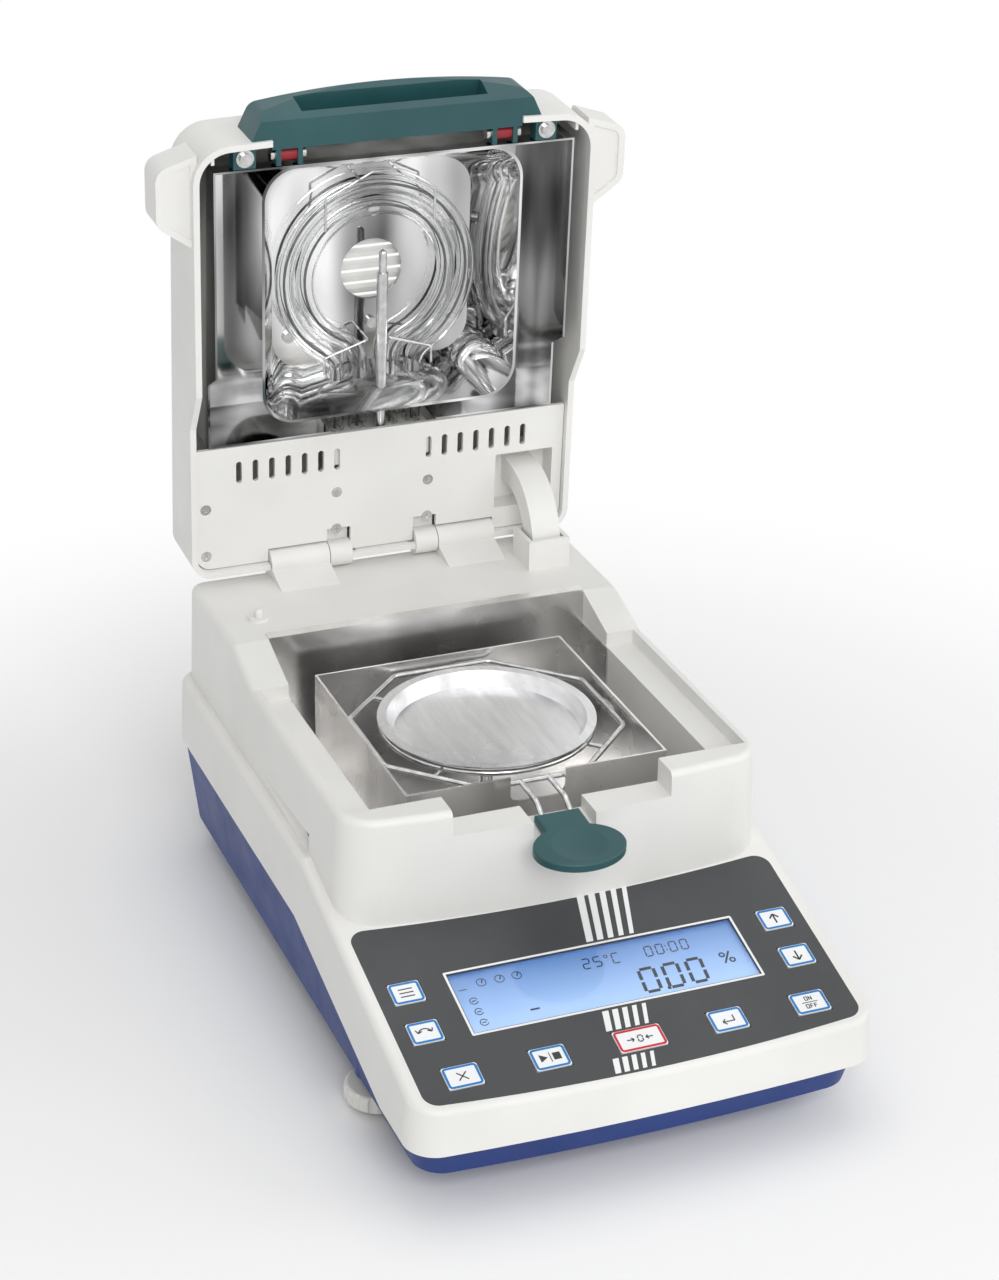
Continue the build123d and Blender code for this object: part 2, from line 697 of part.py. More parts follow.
def base_pan():
    """Blue tub with a front bar, rear bosses, foot bosses, bottom vents and connector openings."""
    hollow = Pos(0, 0, WALL) * pan_form(WALL)
    shell = pan_form(0) - hollow + pan_feet()
    for x in (-FOOT_X, FOOT_X):
        shell += Pos(x, FOOT_Y, 0) * disc(STUD_R + 2 * WALL, PAN_BOTTOM_Z, STUD_TOP_Z)
        shell -= Pos(x, FOOT_Y, 0) * disc(STUD_R + STUD_FIT, 0, STUD_TOP_Z + WALL)
    slot = extrude(SlotOverall(2 * VENT_LENGTH, VENT_WIDTH), 2 * WALL, both=True)
    for i in range(VENT_COUNT):
        shell -= Pos(-REAR_FOOT_X / 2, LOAD_AXIS_Y + VENT_PITCH * i, PAN_BOTTOM_Z) * slot
    shell = shell - connector_opening(INLET_X, INLET_WIDTH, INLET_HEIGHT)
    shell = shell - connector_opening(PORT_X, PORT_WIDTH, PORT_HEIGHT)
    return shell - above_seam()


# Control panel

def keypad_overlay():
    """Printed film over the panel with openings for the keys and the display."""
    film = on_panel(0, 0, extrude(overlay_outline(0), -OVERLAY_T))
    for _, x, down, width in KEYS:
        film -= panel_prism(x, down, width + 2 * KEY_GAP, KEY_HEIGHT + 2 * KEY_GAP, -WALL, WALL)
    return film - panel_prism(0, DISPLAY_DOWN, DISPLAY_WIDTH - 2 * WALL, DISPLAY_HEIGHT - 2 * WALL, -WALL, WALL)


def display_window():
    """Clear window under the film's opening."""
    return panel_prism(0, DISPLAY_DOWN, DISPLAY_WIDTH, DISPLAY_HEIGHT, -OVERLAY_T - WINDOW_T, -OVERLAY_T)


def display_module():
    """Display glass in a bezel on its backlight."""
    low = board_top()
    high = low + DISPLAY_T
    body = panel_prism(0, DISPLAY_DOWN, DISPLAY_WIDTH - 2 * KEY_GAP, DISPLAY_HEIGHT - 2 * KEY_GAP, low, high)
    recess = panel_prism(0, DISPLAY_DOWN, DISPLAY_WIDTH - 2 * WALL, DISPLAY_HEIGHT - 2 * WALL,
                         high - KEY_TRAVEL, high + WALL)
    return body - recess


def keypad_board():
    """Board under the panel with a dome switch below each key."""
    top = board_top()
    middle = (BOARD_FROM_DOWN + BOARD_TO_DOWN) / 2
    length = BOARD_TO_DOWN - BOARD_FROM_DOWN
    board = panel_prism(0, middle, OVERLAY_WIDTH - 2 * WALL, length, top - BOARD_T, top)
    dome_base = DOME_R ** 2 + DOME_H ** 2
    sphere_r = dome_base / (2 * DOME_H)
    dome = Pos(0, 0, DOME_H - sphere_r) * Sphere(sphere_r) & disc(DOME_R, -BOARD_T / 2, DOME_H)
    return board + [on_panel(x, down, Pos(0, 0, top) * dome) for _, x, down, _ in KEYS]


def key_cap(x, down, width):
    """Key plate with a stem that ends just above its dome switch."""
    plate = Pos(0, 0, KEY_PROUD - KEY_T / 2) * Box(width, KEY_HEIGHT, KEY_T)
    plate = fillet(plate.edges().filter_by(Axis.Z), KEY_CORNER_R)
    foot = board_top() + DOME_H + KEY_TRAVEL + SEAT_GAP
    return on_panel(x, down, plate + disc(KEY_STEM_R, foot, KEY_PROUD - KEY_T))


# Chamber and weighing parts

def chamber_liner():
    """Folded steel sheet: floor, rear plate with a top flange and two side wings."""
    half = CHAMBER_WIDTH / 2
    low = CHAMBER_FLOOR_Z
    floor = box_between(-half, half, CHAMBER_FRONT_Y, DECK_FRONT_Y, low, low + LINER_T)
    rear = box_between(-half, half, DECK_FRONT_Y - LINER_T, DECK_FRONT_Y, low, DECK_Z + LINER_T)
    flange = box_between(-half, half, DECK_FRONT_Y - LINER_T, DECK_FRONT_Y + LINER_FLANGE, DECK_Z, DECK_Z + LINER_T)
    wing = box_between(half - LINER_T, half, DECK_FRONT_Y - LINER_WING, DECK_FRONT_Y, low, RIM_Z - GUTTER_DEPTH)
    hole = Pos(0, LOAD_AXIS_Y, 0) * disc(LOAD_HOLE_R, low - WALL, low + WALL)
    return floor + rear + flange + mirrored(wing) - hole


def lifter_z():
    """Height of the lifter wire's centre."""
    return DISH_RIM_Z - LIFTER_DROP


def draft_shield():
    """Square steel draft shield with a stem notch in front and three lugs that carry the lifter."""
    floor = CHAMBER_FLOOR_Z + LINER_T
    inner = SHIELD_SIDE - 2 * SHIELD_T
    ring = Rectangle(SHIELD_SIDE, SHIELD_SIDE) - Rectangle(inner, inner)
    shell = extrude(ring, SHIELD_TOP_Z - floor)
    reach = inner / 2 - LIFTER_R * cos(radians(22.5)) + LIFTER_WIRE_R
    lug_top = lifter_z() - LIFTER_WIRE_R - SEAT_GAP - floor
    lug = box_between(inner / 2 - reach, inner / 2, -SHIELD_LUG_WIDTH / 2, SHIELD_LUG_WIDTH / 2,
                      lug_top - SHIELD_T, lug_top)
    shell = shell + [Rot(0, 0, turn) * lug for turn in (0, 90, 180)]
    notch = extrude(RectangleRounded(SHIELD_NOTCH_WIDTH, 2 * SHIELD_NOTCH_DEPTH, SHIELD_NOTCH_DEPTH / 3),
                    3 * SHIELD_T, both=True)
    notch = Pos(0, -SHIELD_SIDE / 2, SHIELD_TOP_Z - floor) * Rot(90, 0, 0) * notch
    return Pos(0, LOAD_AXIS_Y, floor) * (shell - notch)


def sample_dish():
    """Spun aluminium dish with a sloping wall and a flat rim."""
    low = DISH_RIM_Z - DISH_HEIGHT
    t = DISH_T
    profile = Polyline((0, low), (DISH_BASE_R, low), (DISH_WALL_R, DISH_RIM_Z - t), (DISH_RIM_R, DISH_RIM_Z - t),
                       (DISH_RIM_R, DISH_RIM_Z), (DISH_WALL_R - t, DISH_RIM_Z), (DISH_BASE_R - t, low + t),
                       (0, low + t), close=True)
    return Pos(0, LOAD_AXIS_Y, 0) * revolve(Plane.XZ * make_face(profile), Axis.Z)


def cell_boss_top():
    """Height where the pan support's stem stands on the load cell."""
    return CHAMBER_FLOOR_Z - 3 * WALL


def pan_support():
    """Wire ring and four arms on a stem that stands on the load cell."""
    top = DISH_RIM_Z - DISH_HEIGHT - SEAT_GAP
    z = top - SUPPORT_WIRE_R
    arm = Pos(0, 0, z) * cross_bar(SUPPORT_WIRE_R, 0, SUPPORT_ARM_R)
    arms = [Rot(0, 0, 45 + 90 * i) * arm for i in range(4)]
    ring = Pos(0, 0, z) * Torus(SUPPORT_ARM_R, SUPPORT_WIRE_R)
    return Pos(0, LOAD_AXIS_Y, 0) * (disc(SUPPORT_STEM_R, cell_boss_top(), top) + ring + arms)


def load_cell():
    """Aluminium bending beam with two flexure eyes, a foot and a load boss."""
    beam = box_between(-CELL_WIDTH / 2, CELL_WIDTH / 2, -CELL_LENGTH / 2, CELL_LENGTH / 2, CELL_BOTTOM_Z, CELL_TOP_Z)
    middle = (CELL_BOTTOM_Z + CELL_TOP_Z) / 2
    eye_r = (CELL_TOP_Z - CELL_BOTTOM_Z) / 2 - WALL
    for y in (-eye_r - WALL, eye_r + WALL):
        beam -= Pos(0, y, middle) * cross_bar(eye_r, -CELL_WIDTH, CELL_WIDTH)
    foot = box_between(-CELL_WIDTH / 2, CELL_WIDTH / 2, CELL_LENGTH / 2 - CELL_WIDTH, CELL_LENGTH / 2,
                       PAN_BOTTOM_Z + WALL, CELL_BOTTOM_Z)
    boss = Pos(0, -CELL_LENGTH / 2 + CELL_WIDTH / 2, 0) * disc(CELL_WIDTH / 3, CELL_TOP_Z, cell_boss_top())
    shift = LOAD_AXIS_Y + CELL_LENGTH / 2 - CELL_WIDTH / 2
    return Pos(0, shift, 0) * (beam + foot + boss)


def grip_place(shape):
    """Place a shape on the grip's sloping plane, its -Y along the slope."""
    return Pos(0, GRIP_NECK_Y, lifter_z() - GRIP_DROP) * Rot(GRIP_FALL, 0, 0) * shape


def grip_place_inverse(shape):
    """Bring a shape into the grip's own plane."""
    return Rot(-GRIP_FALL, 0, 0) * Pos(0, -GRIP_NECK_Y, GRIP_DROP - lifter_z()) * shape


def stem_path(side):
    """One stem of the lifter: level from the ring, down to the grip and into its neck."""
    ring_y = LOAD_AXIS_Y - LIFTER_R * cos(radians(22.5))
    neck_z = lifter_z() - GRIP_DROP - GRIP_T / 2 / cos(radians(GRIP_FALL))
    run = 0.6 * GRIP_CENTRE
    end_z = neck_z - run * tan(radians(GRIP_FALL))
    x = side * STEM_SPREAD
    return FilletPolyline((x, ring_y, lifter_z()), (x, GRIP_NECK_Y + STEM_BEND_RUN, lifter_z()),
                          (x, GRIP_NECK_Y, neck_z), (x, GRIP_NECK_Y - run, end_z), radius=LIFTER_BEND_R)


def lifter_frame():
    """Octagonal wire, inner carrying ring, four struts and two stems."""
    z = lifter_z()
    octagon = fillet(RegularPolygon(LIFTER_R, 8, rotation=22.5).vertices(), LIFTER_BEND_R)
    outer = round_bar(Pos(0, 0, z) * octagon.wire(), LIFTER_WIRE_R)
    ring = Pos(0, 0, z) * Torus(LIFTER_RING_R, LIFTER_WIRE_R)
    flat = LIFTER_R * cos(radians(22.5))
    strut = Pos(0, 0, z) * cross_bar(STRUT_R, LIFTER_RING_R, flat)
    struts = [Rot(0, 0, 45 + 90 * i) * strut for i in range(4)]
    stems = [round_bar(stem_path(side), LIFTER_WIRE_R) for side in (-1, 1)]
    around_axis = [Pos(0, LOAD_AXIS_Y, 0) * piece for piece in [outer, ring] + struts]
    return group(around_axis + stems)


def lifter_grip():
    """Moulded grip: a neck round the stems and a rounded paddle with a shallow thumb hollow."""
    neck = Pos(0, -GRIP_CENTRE / 2) * Rectangle(GRIP_NECK_WIDTH, GRIP_CENTRE)
    paddle = Pos(0, -GRIP_CENTRE) * Ellipse(GRIP_HALF, GRIP_LENGTH)
    body = extrude(neck + paddle, -GRIP_T)
    body = fillet(body.faces().sort_by(Axis.Z)[-1].edges(), GRIP_T / 4)
    hollow_r = 4 * GRIP_HALF
    body = body - Pos(0, -GRIP_CENTRE, hollow_r - GRIP_T / 4) * Sphere(hollow_r)
    for side in (-1, 1):
        body = body - grip_place_inverse(round_bar(stem_path(side), LIFTER_WIRE_R))
    return grip_place(body)


# Lid switch

def lid_switch_plunger():
    """Rounded pin through the deck with a collar below it."""
    tip = HINGE_Z + COVER_W - SWITCH_TOP_GAP
    under = DECK_Z - WALL
    collar_top = under - SWITCH_TOP_GAP
    foot = collar_top - 2 * SWITCH_COLLAR_R
    pin = disc(SWITCH_PIN_R, foot, tip - SWITCH_PIN_R) + Pos(0, 0, tip - SWITCH_PIN_R) * Sphere(SWITCH_PIN_R)
    collar = disc(SWITCH_COLLAR_R, collar_top - SWITCH_FLANGE_T, collar_top)
    return Pos(SWITCH_X, SWITCH_Y, 0) * (pin + collar)


def lid_switch():
    """Small switch on a bracket that hangs from the deck."""
    width, depth, height = SWITCH_BODY
    top = DECK_Z - WALL - SWITCH_TOP_GAP - 2 * SWITCH_COLLAR_R - SWITCH_TRAVEL - SEAT_GAP
    body = box_between(-width / 2, width / 2, -depth / 2, depth / 2, top - height, top)
    arm = box_between(-width / 2, width / 2, depth / 2, depth / 2 + LINER_T, top - height, DECK_Z - WALL)
    tab = box_between(-width / 2, width / 2, depth / 2, depth, DECK_Z - WALL - LINER_T, DECK_Z - WALL)
    return Pos(SWITCH_X, SWITCH_Y, 0) * (body + arm + tab)


# Lid

def lid_form(inset):
    """Lid body as plan outline times side profile."""
    plan = bowed_outline(LID_HALF - inset, -LID_FRONT_U + inset, LID_FRONT_BOW, -LID_REAR_U - inset,
                         LID_FRONT_R - inset, LID_REAR_R - inset)
    block = Pos(0, 0, LID_RIM_W) * extrude(plan, LID_TOP_REAR_W - LID_RIM_W)
    drop = FAR if inset else 0
    outline = [(-LID_REAR_U + 1, LID_HEEL_W - drop), (-LID_HEEL_U, LID_HEEL_W - drop),
               (-LID_SLOPE_U, LID_RIM_W - drop), (-LID_FRONT_U - 1, LID_RIM_W - drop),
               (-LID_FRONT_U - 1, LID_TOP_FRONT_W - inset), (-LID_REAR_U + 1, LID_TOP_REAR_W - inset)]
    return block & side_profile(outline)


def lid_top_w(u):
    """Height of the lid's top face at a place along u."""
    share = (u - LID_REAR_U) / (LID_FRONT_U - LID_REAR_U)
    return LID_TOP_REAR_W + (LID_TOP_FRONT_W - LID_TOP_REAR_W) * share


def on_lid_top(edge):
    """Whether an edge borders the lid's top face."""
    place = edge.center()
    return abs(place.Z - lid_top_w(-place.Y)) < 0.3


def lid_ears():
    """Side ears with rounded corners and a rounded border."""
    root = LID_HALF - LID_WALL
    tip = LID_HALF + EAR_REACH
    outline = Polyline((root, -EAR_ROOT_TO_U), (tip, -EAR_TIP_TO_U), (tip, -EAR_TIP_FROM_U),
                       (root, -EAR_ROOT_FROM_U), close=True)
    face = make_face(outline)
    face = fillet(face.vertices().sort_by(Axis.X)[-2:], EAR_CORNER_R)
    ear = Pos(0, 0, EAR_LOW_W) * extrude(face, EAR_HIGH_W - EAR_LOW_W)
    ear = fillet([e for e in ear.faces().sort_by(Axis.Z)[-1].edges() if e.center().X > LID_HALF], EDGE_R)
    inner = offset(face, -EDGE_R)
    ear = ear - Pos(0, 0, EAR_LOW_W) * extrude(inner, LINER_T)
    return mirrored(ear)


def knuckles():
    """Two lid blocks on the hinge pins, each with a web into the lid's heel."""
    outer = BARREL_IN_X - KNUCKLE_GAP
    round_part = cross_bar(BARREL_R, KNUCKLE_IN_X, outer)
    web = lid_box(KNUCKLE_IN_X, outer, LID_REAR_U + 1, 2 * BARREL_R, HINGE_PIN_R, 2 * BARREL_R)
    return mirrored(round_part + web)


def screw_bosses():
    """Bosses inside the lid for the cover's screws and the heater's seats."""
    top = COVER_W + COVER_T
    posts = []
    for x, u in COVER_SCREWS:
        posts.append(Pos(x, -u, 0) * disc(BOSS_R, top, lid_top_w(u) - LID_WALL / 2))
    for x in (-BRACKET_X, BRACKET_X):
        for u in (LAMP_FOOT_U + 4 * BOSS_R, HEATER_FRONT_U - 4 * BOSS_R):
            posts.append(Pos(x, -u, 0) * disc(BOSS_R, HEATER_BACK_W, lid_top_w(u) - LID_WALL / 2))
    for x in (-HOLDER_HALF / 2, HOLDER_HALF / 2):
        u = LAMP_FOOT_U - HOLDER_LENGTH / 2
        posts.append(Pos(x, -u, 0) * disc(BOSS_R, HOLDER_HIGH_W, lid_top_w(u) - LID_WALL / 2))
    return posts


def corner_ribs():
    """Short upright ribs in the lid's front corners."""
    wall_u = LID_FRONT_U - LID_WALL
    rib = lid_box(LID_HALF - 10, LID_HALF - 8.6, wall_u - 7, wall_u, LID_RIM_W + 1.5, LID_TOP_FRONT_W - LID_WALL)
    return mirrored(rib)


def lid_shell():
    """White moulded lid with ears, hinge blocks, bosses, ribs and openings for handle and grille."""
    outer = lid_form(0)
    outer = fillet(outer.edges().filter_by(on_lid_top), LID_EDGE_R)
    ribs = corner_ribs() & lid_form(LID_WALL / 2)
    body = outer - lid_form(LID_WALL) + ribs + screw_bosses() + lid_ears() + knuckles()
    sweep_r = BARREL_R + BARREL_SWEEP
    clear = mirrored(cross_bar(sweep_r, BARREL_IN_X - KNUCKLE_GAP, BARREL_OUT_X + KNUCKLE_GAP))
    notch = lid_box(-HANDLE_NOTCH_HALF, HANDLE_NOTCH_HALF, HEATER_FRONT_U, LID_FRONT_U + WALL,
                    LID_RIM_W - WALL, HANDLE_NOTCH_W)
    opening = lid_box(-GRILLE_WIDTH / 2, GRILLE_WIDTH / 2, WINDOW_U - GRILLE_LENGTH / 2,
                      WINDOW_U + GRILLE_LENGTH / 2, LID_WALL, FAR)
    for x, u in COVER_SCREWS:
        body = body - Pos(x, -u, 0) * disc(SCREW_SHANK_R, COVER_W, SCREW_DEPTH)
    bore = mirrored(cross_bar(HINGE_PIN_R + PIN_CLEARANCE, KNUCKLE_IN_X - WALL, BARREL_OUT_X))
    return in_lid(body - clear - bore - notch - opening)


def vent_grille():
    """Louvred plate in the lid's top, following its slope."""
    slope = degrees(atan2(LID_TOP_REAR_W - LID_TOP_FRONT_W, LID_FRONT_U - LID_REAR_U))
    length = GRILLE_LENGTH - 2 * COVER_GAP / 3
    frame = Box(GRILLE_WIDTH, GRILLE_LENGTH, GRILLE_T)
    pitch = (length - 2 * WALL) / GRILLE_BARS
    slots = []
    for i in range(GRILLE_BARS):
        y = (i - (GRILLE_BARS - 1) / 2) * pitch
        slots.append(Pos(0, y, 0) * Rot(35, 0, 0) * Box(GRILLE_WIDTH - 2 * WALL, pitch / 2, 4 * GRILLE_T))
    plate = frame - slots
    turned = Pos(0, -WINDOW_U, lid_top_w(WINDOW_U) - LID_WALL / 2) * Rot(slope, 0, 0) * plate
    limit = lid_box(-GRILLE_WIDTH / 2, GRILLE_WIDTH / 2, WINDOW_U - GRILLE_LENGTH / 2,
                    WINDOW_U + GRILLE_LENGTH / 2, LID_WALL, FAR)
    return in_lid(turned & limit)


def pocket_space(grow, low, high):
    """Pocket in the cover that clears the duct socket."""
    return lid_box(DUCT_X - POCKET_HALF - grow, DUCT_X + POCKET_HALF + grow, POCKET_REAR_U - grow,
                   POCKET_FRONT_U + grow, low, high)


def lid_cover():
    """Inner cover plate with vent slots, screw holes and the pocket round the cable duct."""
    half = LID_HALF - LID_WALL - COVER_GAP
    plate = lid_box(-half, half, COVER_REAR_U, HEATER_REAR_U - COVER_GAP, COVER_W, COVER_W + COVER_T)
    corners = plate.edges().filter_by(Axis.Z).sort_by(Axis.Y)[-2:]
    plate = fillet(corners, LID_REAR_R - LID_WALL)
    plate = plate + pocket_space(POCKET_T, COVER_W, POCKET_W + POCKET_T) - pocket_space(0, COVER_W - WALL, POCKET_W)
    slot = extrude(Rot(0, 0, 90) * SlotOverall(SLOT_LENGTH, SLOT_WIDTH), 2 * COVER_T, both=True)
    for i in range(SLOT_COUNT):
        x = SLOT_FIRST_X + SLOT_PITCH * i
        plate = plate - Pos(x, -SLOT_U, COVER_W) * slot - Pos(-x, -SLOT_U, COVER_W) * slot
    for x, u in COVER_SCREWS:
        plate = plate - Pos(x, -u, 0) * disc(SCREW_SHANK_R, COVER_W - WALL, WALL)
        plate = plate - Pos(x, -u, 0) * disc(SCREW_HEAD_R, COVER_W - WALL, COVER_W + SCREW_HEAD_T)
    plate = plate - lid_box(DUCT_X - DUCT_WIDTH / 2, DUCT_X + DUCT_WIDTH / 2, DUCT_INNER_R, DUCT_OUTER_R, 0, FAR)
    sweep_r = BARREL_R + BARREL_SWEEP
    rear = mirrored(cross_bar(sweep_r, KNUCKLE_IN_X - KNUCKLE_GAP, BARREL_OUT_X + KNUCKLE_GAP))
    webs = mirrored(lid_box(KNUCKLE_IN_X - KNUCKLE_GAP, BARREL_IN_X, 0, 2 * BARREL_R + KNUCKLE_GAP, COVER_W, WALL))
    return in_lid(plate - rear - webs)


def lid_screws():
    """Countersunk cover screws with cross recesses."""
    screws = []
    cross = Box(SCREW_HEAD_R, SCREW_HEAD_T / 2, SCREW_HEAD_T) + Box(SCREW_HEAD_T / 2, SCREW_HEAD_R, SCREW_HEAD_T)
    for x, u in COVER_SCREWS:
        head = disc(SCREW_HEAD_R, COVER_W, COVER_W + SCREW_HEAD_T)
        shank = disc(SCREW_SHANK_R, COVER_W + SCREW_HEAD_T, SCREW_DEPTH)
        screws.append(Pos(x, -u, 0) * (head + shank - Pos(0, 0, COVER_W) * cross))
    return in_lid(group(screws))


# Heater

def heater_form(inset):
    """Box of the heater housing with its kinked rim."""
    half = HEATER_HALF - inset
    drop = FAR if inset else 0
    return side_profile([(-HEATER_REAR_U - inset, HEATER_HEEL_W - drop), (-HEATER_KINK_U, HEATER_HEEL_W - drop),
                         (-HEATER_SLOPE_U, HEATER_LIP_W - drop), (-HEATER_FRONT_U + inset, HEATER_LIP_W - drop),
                         (-HEATER_FRONT_U + inset, HEATER_BACK_W - inset),
                         (-HEATER_REAR_U - inset, HEATER_BACK_W - inset)], half)


def heater_housing():
    """Bright steel box open towards the chamber, with a gap for the lamp legs and a round window."""
    shell = heater_form(0) - heater_form(SHEET_T)
    legs = lid_box(-LAMP_GAP_HALF, LAMP_GAP_HALF, HEATER_REAR_U - WALL, HEATER_REAR_U + WALL,
                   HEATER_HEEL_W - WALL, HOLDER_HIGH_W)
    window = Pos(0, -WINDOW_U, 0) * disc(WINDOW_R, TRAY_MID_W, FAR)
    return in_lid(shell - legs - window)


def tray_form(inset):
    """Three-section body of the reflector."""
    back = HEATER_BACK_W - SHEET_T
    sections = []
    for half, w in ((TRAY_RIM_HALF, TRAY_RIM_W - inset), (TRAY_MID_HALF, TRAY_MID_W), (TRAY_BACK_HALF, back - inset)):
        side = 2 * (half - inset)
        sections.append(Pos(0, -TRAY_CENTRE_U, w) * RectangleRounded(side, side, TRAY_CORNER_R - inset))
    return loft(sections, ruled=True)


def lamp_leg_holes():
    """Clearance holes for the lamp legs and the probe."""
    places = [(side * leg, LAMP_W, LAMP_TUBE_R) for _, leg in LAMPS for side in (-1, 1)]
    places.append((0.0, PROBE_W, PROBE_R))
    u0 = HEATER_REAR_U
    u1 = TRAY_CENTRE_U - TRAY_BACK_HALF / 2
    holes = []
    for x, w, radius in places:
        holes.append(Pos(x, -(u0 + u1) / 2, w) * Rot(90, 0, 0) * Cylinder(radius + CLIP_CLEARANCE, u1 - u0))
    return holes


def reflector():
    """Mirror tray with rounded corners, a round window, leg holes and a row of vent holes."""
    shell = tray_form(0) - tray_form(SHEET_T)
    shell = shell - Pos(0, -WINDOW_U, 0) * disc(WINDOW_R, TRAY_MID_W, FAR)
    wall_u = TRAY_CENTRE_U + TRAY_RIM_HALF
    hole = Rot(90, 0, 0) * Cylinder(VENT_HOLE_R, 4 * VENT_HOLE_R)
    for i in range(VENT_HOLE_COUNT):
        x = (i - (VENT_HOLE_COUNT - 1) / 2) * VENT_HOLE_PITCH
        shell = shell - Pos(x, -wall_u, VENT_HOLE_W) * hole
    for opening in lamp_leg_holes():
        shell = shell - opening
    return in_lid(shell)


def lamp_path(ring_r, leg):
    """Open ring with two necked legs, in the lamp plane."""
    reach = ring_r + LAMP_NECK_R
    neck_x = leg + LAMP_NECK_R
    neck_u = LAMP_CENTRE_U - sqrt(reach ** 2 - neck_x ** 2)
    share = ring_r / reach
    touch = (share * neck_x, LAMP_CENTRE_U + share * (neck_u - LAMP_CENTRE_U))
    middle = (neck_x - LAMP_NECK_R * cos(radians(20)), neck_u + LAMP_NECK_R * sin(radians(20)))
    start = Line((leg, -LAMP_FOOT_U), (leg, -neck_u))
    neck = ThreePointArc((leg, -neck_u), (middle[0], -middle[1]), (touch[0], -touch[1]))
    ring = ThreePointArc((touch[0], -touch[1]), (0, -LAMP_CENTRE_U - ring_r), (-touch[0], -touch[1]))
    other_neck = ThreePointArc((-touch[0], -touch[1]), (-middle[0], -middle[1]), (-leg, -neck_u))
    end = Line((-leg, -neck_u), (-leg, -LAMP_FOOT_U))
    return Pos(0, 0, LAMP_W) * Wire([start.edge(), neck.edge(), ring.edge(), other_neck.edge(), end.edge()])


def halogen_lamps():
    """Two nested ring lamps of clear tube."""
    bore = LAMP_TUBE_R - LAMP_GLASS_T
    return in_lid(group([round_bar(lamp_path(ring_r, leg), LAMP_TUBE_R, bore) for ring_r, leg in LAMPS]))


def lamp_filaments():
    """Filament along the middle of each lamp."""
    return in_lid(group([round_bar(lamp_path(ring_r, leg), FILAMENT_R) for ring_r, leg in LAMPS]))


def lamp_holders():
    """Ceramic block that carries the lamp feet and the probe."""
    block = lid_box(-HOLDER_HALF, HOLDER_HALF, LAMP_FOOT_U - HOLDER_LENGTH, LAMP_FOOT_U, HOLDER_LOW_W, HOLDER_HIGH_W)
    block = chamfer(block.edges().filter_by(Axis.Y), 2)
    bore = Pos(0, -LAMP_FOOT_U, PROBE_W) * Rot(90, 0, 0) * Cylinder(PROBE_R, HOLDER_LENGTH)
    return in_lid(block - bore)


def temperature_probe():
    """Steel probe rod with a thinner dark tip."""
    start = LAMP_FOOT_U - HOLDER_LENGTH / 2
    rod = Pos(0, -(start + PROBE_ROD_U) / 2, PROBE_W) * Rot(90, 0, 0) * Cylinder(PROBE_R, PROBE_ROD_U - start)
    tip_length = PROBE_TIP_U - PROBE_ROD_U - PROBE_TIP_R
    tip = Pos(0, -PROBE_ROD_U - tip_length / 2, PROBE_W) * Rot(90, 0, 0) * Cylinder(PROBE_TIP_R, tip_length)
    end = Pos(0, -PROBE_ROD_U - tip_length, PROBE_W) * Sphere(PROBE_TIP_R)
    return in_lid(rod + tip + end)


def lamp_clips():
    """Spring wires that hold both rings at the top and both necks at the bottom."""
    front = LAMP_W - LAMP_TUBE_R - CLIP_CLEARANCE - CLIP_WIRE_R
    back = HEATER_BACK_W - 2 * SHEET_T - CLIP_WIRE_R
    wires = []
    for side in (-1, 1):
        near = 10 * side
        wide = 26 * side
        wires.append(bent_bar([(near, -TOP_CLIP_U - 9, back), (near, -TOP_CLIP_U - 9, front),
                               (wide, -TOP_CLIP_U - 1, front), (wide, -TOP_CLIP_U + 14, front)], CLIP_WIRE_R, 1.5))
        wires.append(bent_bar([(near / 2, -LOW_SCREW_U + 4, back), (near / 2, -LOW_SCREW_U + 4, front),
                               (wide, -LOW_CLIP_U, front), (wide, -LOW_CLIP_U + 8, front)], CLIP_WIRE_R, 1.5))
    wires.append(bent_bar([(-10, -TOP_CLIP_U - 9, front), (-4, -TOP_CLIP_U - 12, front),
                           (4, -TOP_CLIP_U - 12, front), (10, -TOP_CLIP_U - 9, front)], CLIP_WIRE_R, 1.5))
    return in_lid(group(wires))


def reflector_screws():
    """Pan-head screws through the reflector's back and side walls."""
    back = HEATER_BACK_W - 2 * SHEET_T
    screws = []
    for u in (CLIP_SCREW_U, LOW_SCREW_U):
        screws.append(Pos(0, -u, 0) * disc(SCREW_HEAD_R, back - 2, back))
    for x, u in ((40.0, 150.0), (40.0, 104.0), (-40.0, 104.0)):
        screws.append(Pos(x, -u, 0) * disc(SCREW_HEAD_R, back - 1.6, back))
    return in_lid(group(screws))


# Handle

